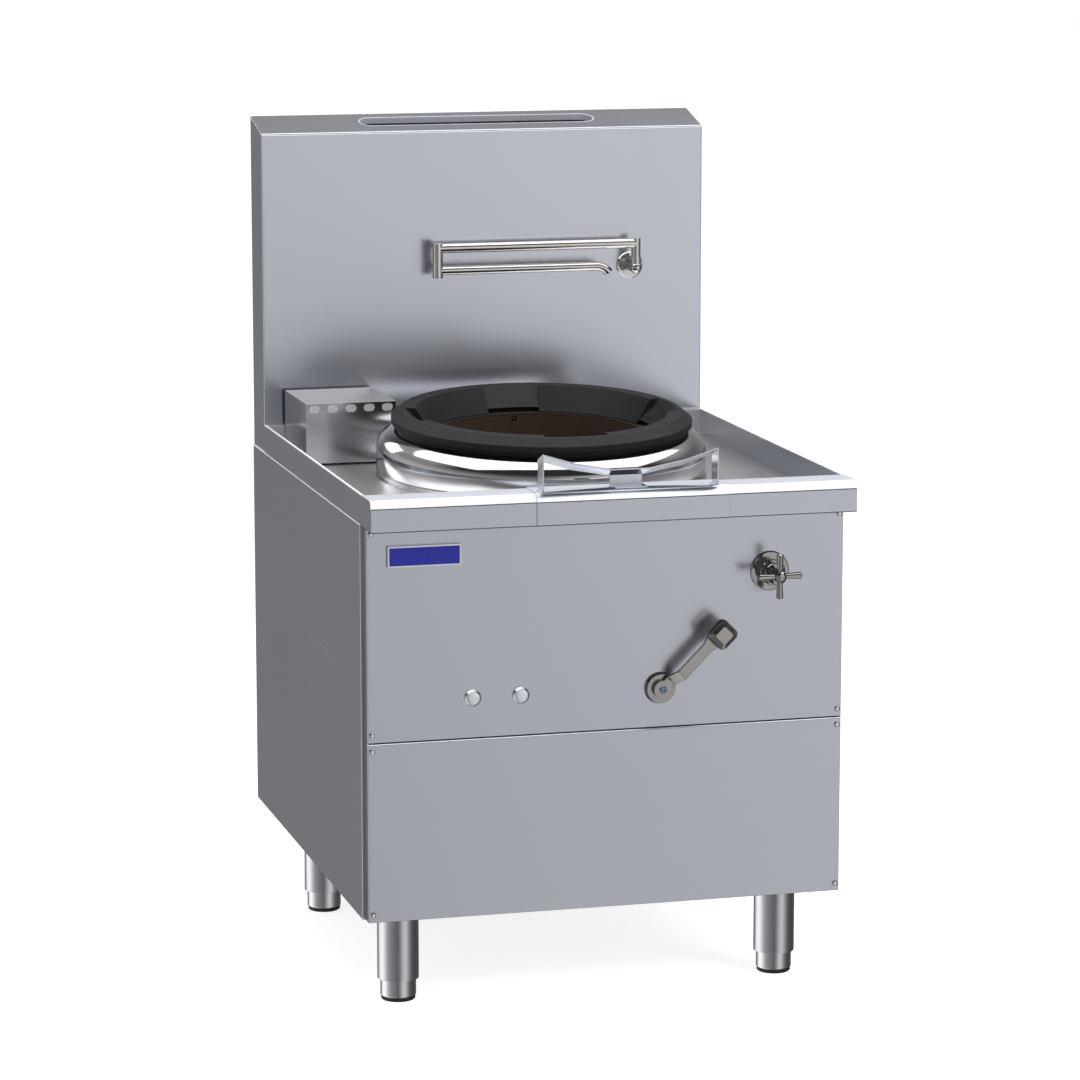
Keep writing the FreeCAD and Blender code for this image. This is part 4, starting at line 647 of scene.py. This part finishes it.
plate_satin = brushed_steel("plate_satin", (0.80, 0.81, 0.84), "X", 0.3)
plate = finish_piece(plain_plate(), "badge_plate", plate_satin, "range", smooth=False)
plate.data.materials.append(enamel("plate_enamel", (0.022, 0.030, 0.36)))

# %% [markdown]
# ## The spun collar
# The CAD collar's round shoulder is made of narrow flat bands. That is fine for a solid, but a mirror
# finish would show every band as a step. The same section, with a finer arc, is spun here in many
# small steps about the same leaning axis, cut level where it meets the hob and closed again along the
# cut, so the polished piece has true curves and the CAD collar steps aside.

# %% Spun collar
deck_top, burner_setback = 0.7075, 0.3642
axis_foot = Vector((0.0, panel_face + burner_setback, deck_top))
collar_radius, collar_sheet, arc_height, arc_radius = 0.2438, 0.0015, 0.038, 0.032
mouth_radius, lip_depth = 0.2035, 0.012
mouth_inner = mouth_radius + collar_sheet


def shoulder(radius, steps=24):
    """(radius, height) points on the quarter round of the collar, from its wall to its flat top."""
    turns = [math.pi / 2 * step / steps for step in range(steps + 1)]
    return [(collar_radius - arc_radius + radius * math.cos(turn), arc_height + radius * math.sin(turn))
            for turn in turns]


collar_crown = arc_height + arc_radius
lip_foot = collar_crown - lip_depth
outer_lip = [(mouth_radius + 0.0010, collar_crown), (mouth_radius + 0.0002, collar_crown - 0.0003),
             (mouth_radius, collar_crown - 0.0012), (mouth_radius, lip_foot)]
inner_lip = [(mouth_inner + 0.0005, collar_crown - collar_sheet), (mouth_inner, collar_crown - 0.0022),
             (mouth_inner, lip_foot)]
outer_skin = [(collar_radius, -arc_height)] + shoulder(arc_radius) + outer_lip
inner_skin = [(collar_radius - collar_sheet, -arc_height)] + shoulder(arc_radius - collar_sheet)
inner_skin += inner_lip
collar = turned(outer_skin + inner_skin[::-1], axis_foot, burner_axis, 240, closed=True)
bmesh.ops.remove_doubles(collar, verts=collar.verts, dist=1e-6)
cut = bmesh.ops.bisect_plane(collar, geom=collar.verts[:] + collar.edges[:] + collar.faces[:],
                             plane_co=(0.0, 0.0, deck_top), plane_no=(0.0, 0.0, 1.0), clear_inner=True)
cut_edges = [edge for edge in cut["geom_cut"] if isinstance(edge, bmesh.types.BMEdge)]
bmesh.ops.bridge_loops(collar, edges=cut_edges)
spun = finish_piece(collar, "spun_collar", collar_polish, "range")
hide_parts("burner_collar")
finished.add("burner_collar")

# %% [markdown]
# ## Weld bead and flame probe
# The collar is welded to the hob all the way round, which shows as a thin bright bead at its foot, and
# a copper flame probe looks through the small port at the back of the burner. Both are turned: the
# bead is a tiny quarter round spun at the collar's radius and stretched a hair along Y, because a
# leaning tube meets a level hob in an oval. The probe is a thin rod with a rounded end. The whole
# burner head leans 3.2 degrees towards the cook, so the probe leans with it.

# %% Bead and probe
bead_size, collar_clearance, port_height = 0.0016, 0.00005, 0.0516


def bead_outline(radius, size, steps=6):
    """A quarter-round bead in the corner outside a radius."""
    angles = [math.pi / 2 * step / steps for step in range(steps + 1)]
    return [(radius + size * math.sin(angle), size * math.cos(angle)) for angle in angles]


bead = turned(bead_outline(collar_radius + collar_clearance, bead_size), axis_foot, (0, 0, 1), 120)
bmesh.ops.scale(bead, verts=bead.verts, vec=(1.0, 1.0 / math.cos(tilt), 1.0),
                space=Matrix.Translation(-axis_foot))
weld_finish = plated("weld_bead", (0.5, 0.5, 0.52), 0.3)
finish_piece(bead, "collar_weld", weld_finish, "range")

port_centre = axis_foot + burner_axis * port_height
outward = Vector((0.0, math.cos(tilt), math.sin(tilt)))
probe_outline = [(0.0, 0.1585), (0.0010, 0.1588), (0.0016, 0.1600), (0.0016, 0.1850), (0.0, 0.1850)]
probe = turned(probe_outline, port_centre, outward, 24)
probe_copper = aged_metal("probe_copper", (0.85, 0.42, 0.20), (0.60, 0.28, 0.14), 0.25)
finish_piece(probe, "flame_probe", probe_copper, "range")

# %% [markdown]
# ## Floor and light
# A product shot on white needs three things: a floor that reads white but still takes the object's
# soft shadow, large soft lamps so the steel shows broad gentle gradients, and something darker for
# the steel to mirror here and there, because steel looks like whatever stands beside it. The floor is
# a pale matt surface. For camera, glossy and transmission rays it also gives off a little light of its
# own, which lifts it to white without lighting the object any harder. As an object it is hidden from
# glossy rays, so the steel mirrors the lower part of the room drawn below and not a sheet of white.

# %% Floor
floor_size = 40.0
floor_mesh = bmesh.new()
bmesh.ops.create_grid(floor_mesh, x_segments=8, y_segments=8, size=floor_size / 2)
floor_data = bpy.data.meshes.new("studio_floor")
floor_mesh.to_mesh(floor_data)
floor_mesh.free()
floor = bpy.data.objects.new("studio_floor", floor_data)
bpy.context.scene.collection.objects.link(floor)
floor.visible_glossy = False

floor_finish = Finish("floor_paint")
seen = floor_finish.add("ShaderNodeLightPath").outputs
looked_at = floor_finish.plus(seen["Is Camera Ray"], seen["Is Glossy Ray"])
looked_at = floor_finish.plus(looked_at, seen["Is Transmission Ray"])
floor_finish.wire(Base_Color=(0.80, 0.80, 0.80), Roughness=0.9, Specular_IOR_Level=0.0)
glow = floor_finish.add("ShaderNodeEmission", {"Color": (1, 1, 1, 1), "Strength": 0.75})
both = floor_finish.add("ShaderNodeAddShader")
choice = floor_finish.add("ShaderNodeMixShader", {0: looked_at})
tree = floor_finish.tree
tree.links.new(floor_finish.shader.outputs[0], both.inputs[0])
tree.links.new(glow.outputs[0], both.inputs[1])
tree.links.new(floor_finish.shader.outputs[0], choice.inputs[1])
tree.links.new(both.outputs[0], choice.inputs[2])
tree.links.new(choice.outputs[0], tree.nodes["Material Output"].inputs["Surface"])
floor_data.materials.append(floor_finish.material)
print("floor", floor_size, "m across")

# %% [markdown]
# The world is the studio room. The camera meets plain white. Steel meets the room itself: a bright
# window of cloth at the left and another at the front right, with dimmer walls between them, a dark
# wall at the right and a mostly dark ceiling. The room is drawn as level against compass bearing, once for
# its lower part and once for its upper part, and the two are blended by height. The ceiling's level
# follows height alone, with one scale for the front half and one for the rear. Matt surfaces are lit
# by an even grey.

# %% World
world = bpy.data.worlds.new("studio_room")
bpy.context.scene.world = world
world.use_nodes = True
room = world.node_tree


def room_node(kind, inputs, **settings):
    """Adds a node to the room and links or sets its inputs."""
    node = room.nodes.new(kind)
    for name, value in settings.items():
        setattr(node, name, value)
    for name, value in inputs.items():
        if isinstance(value, bpy.types.NodeSocket):
            room.links.new(value, node.inputs[name])
        else:
            node.inputs[name].default_value = value
    return node.outputs[0]


def ramp(value, stops, top):
    """A level that follows a value; the stops are (place, level) and top is the brightest level."""
    node = room.nodes.new("ShaderNodeValToRGB")
    room.links.new(value, node.inputs[0])
    for place, level in stops[1:-1]:
        node.color_ramp.elements.new(place)
    for stop, (place, level) in zip(sorted(node.color_ramp.elements, key=lambda e: e.position), stops):
        stop.color = (level / top, level / top, level / top, 1)
    return room_node("ShaderNodeMath", {0: node.outputs[0], 1: top}, operation="MULTIPLY")


def walls(levels):
    """Wall levels by bearing in degrees: 0 is towards the cook, 90 towards +X."""
    return ramp(bearing, [((degrees + 180) / 360, level) for degrees, level in levels], brightest_wall)


def between(value, low, high):
    """0 where a value is at its low mark, 1 at its high one."""
    return room_node("ShaderNodeMapRange", {"Value": value, "From Min": low, "From Max": high})


brightest_wall = 1.6
parts = room.nodes.new("ShaderNodeSeparateXYZ")
room.links.new(room_node("ShaderNodeTexCoord", {}), parts.inputs[0])
height = parts.outputs["Z"]
toward_front = room_node("ShaderNodeMath", {0: parts.outputs["Y"], 1: -1.0}, operation="MULTIPLY")
angle = room_node("ShaderNodeMath", {0: parts.outputs["X"], 1: toward_front}, operation="ARCTAN2")
bearing = between(angle, -math.pi, math.pi)
low_walls = walls([(-180, 0.205), (-163, 0.205), (-150, 0.38), (-137, 1.10), (-125, 1.50), (-105, 1.50),
                   (-88, 0.92), (-75, 0.54), (-60, 0.37), (-44, 0.28), (-15, 0.165), (-7, 0.22),
                   (5, 0.45), (14, 0.67), (19, 0.74), (28, 0.86), (40, 0.62), (52, 0.34), (65, 0.17),
                   (85, 0.09), (130, 0.10), (165, 0.20), (180, 0.205)])
high_walls = walls([(-180, 0.205), (-163, 0.18), (-150, 0.30), (-137, 0.45), (-125, 0.50), (-105, 0.50),
                    (-88, 0.42), (-75, 0.34), (-60, 0.28), (-44, 0.24), (-15, 0.22), (-7, 0.40),
                    (5, 0.75), (14, 0.92), (19, 0.98), (28, 1.05), (40, 0.75), (52, 0.42), (65, 0.2),
                    (85, 0.12), (130, 0.16), (165, 0.36), (180, 0.30)])
front_ceiling = ramp(height, [(0, 0.1), (0.5, 0.03), (0.8, 0.03), (1, 0.3)], 1.0)
rear_ceiling = ramp(height, [(0, 0.12), (0.3, 0.14), (0.5, 0.35), (0.7, 0.3), (1, 0.3)], 1.0)
upper_half = between(height, -0.19, -0.04)
overhead_part = between(height, 0.16, 0.44)
front_half = between(toward_front, -0.2, 0.2)


def blend(factor, first, second):
    """A level between two levels."""
    step = room_node("ShaderNodeMath", {0: second, 1: first}, operation="SUBTRACT")
    return room_node("ShaderNodeMath", {0: step, 1: factor, 2: first}, operation="MULTIPLY_ADD")


matt_level, white = 0.45, 1.0
ceiling = blend(front_half, rear_ceiling, front_ceiling)
studio = blend(overhead_part, blend(upper_half, low_walls, high_walls), ceiling)
ray = room.nodes.new("ShaderNodeLightPath").outputs
around = blend(ray["Is Glossy Ray"], matt_level, studio)
direct = room_node("ShaderNodeMath", {0: ray["Is Camera Ray"], 1: ray["Is Transmission Ray"]},
                   operation="MAXIMUM")
room.links.new(blend(direct, around, white), room.nodes["Background"].inputs["Color"])
print("room built")

# %% [markdown]
# Three area lamps light the matt surfaces: a soft box overhead, one at the front right as the key and
# a weak fill at the front left. Big lamps make soft edges, and their strength is set so that a colour
# renders about as it is written. Two more panels are there for reflections alone. A large one
# overhead draws the broad white band along the rail and round the collar's shoulder, and a small one
# behind the range at its left puts a soft shine on the left side. They add no light to anything matt.

# %% Lamps
def lamp(name, place, aim, width, depth, power):
    """A soft rectangular lamp aimed at a point."""
    data = bpy.data.lights.new(name, "AREA")
    data.shape = "RECTANGLE"
    data.size = width
    data.size_y = depth
    data.energy = power
    made = bpy.data.objects.new(name, data)
    made.location = place
    made.rotation_euler = (Vector(aim) - Vector(place)).to_track_quat("-Z", "Y").to_euler()
    bpy.context.scene.collection.objects.link(made)
    return made


overhead = lamp("overhead_lamp", (0.1, -0.3, 3.3), (0.0, -0.1, 0.7), 2.4, 1.8, 48.0)
key = lamp("key_lamp", (2.6, -3.4, 2.6), (0.0, -0.2, 0.6), 1.6, 1.6, 60.0)
fill = lamp("fill_lamp", (-2.8, -3.0, 2.2), (0.0, 0.0, 0.6), 1.2, 1.2, 14.0)
for source in (overhead, key, fill):
    source.visible_glossy = False
shine = lamp("overhead_shine", (0.0, 0.3, 3.4), (0.0, 0.3, 0.0), 7.0, 4.2, 165.0)
side_shine = lamp("side_shine", (-1.86, 3.07, 2.03), (-0.23, 0.0, 0.77), 1.2, 1.2, 16.0)
for panel in (shine, side_shine):
    panel.visible_diffuse = False
    panel.visible_camera = False

# %% [markdown]
# ## Finish
# Any CAD node still left without a finish is printed.

# %% Finish
for name in sorted(set(nodes) - finished):
    print("bare node:", name)
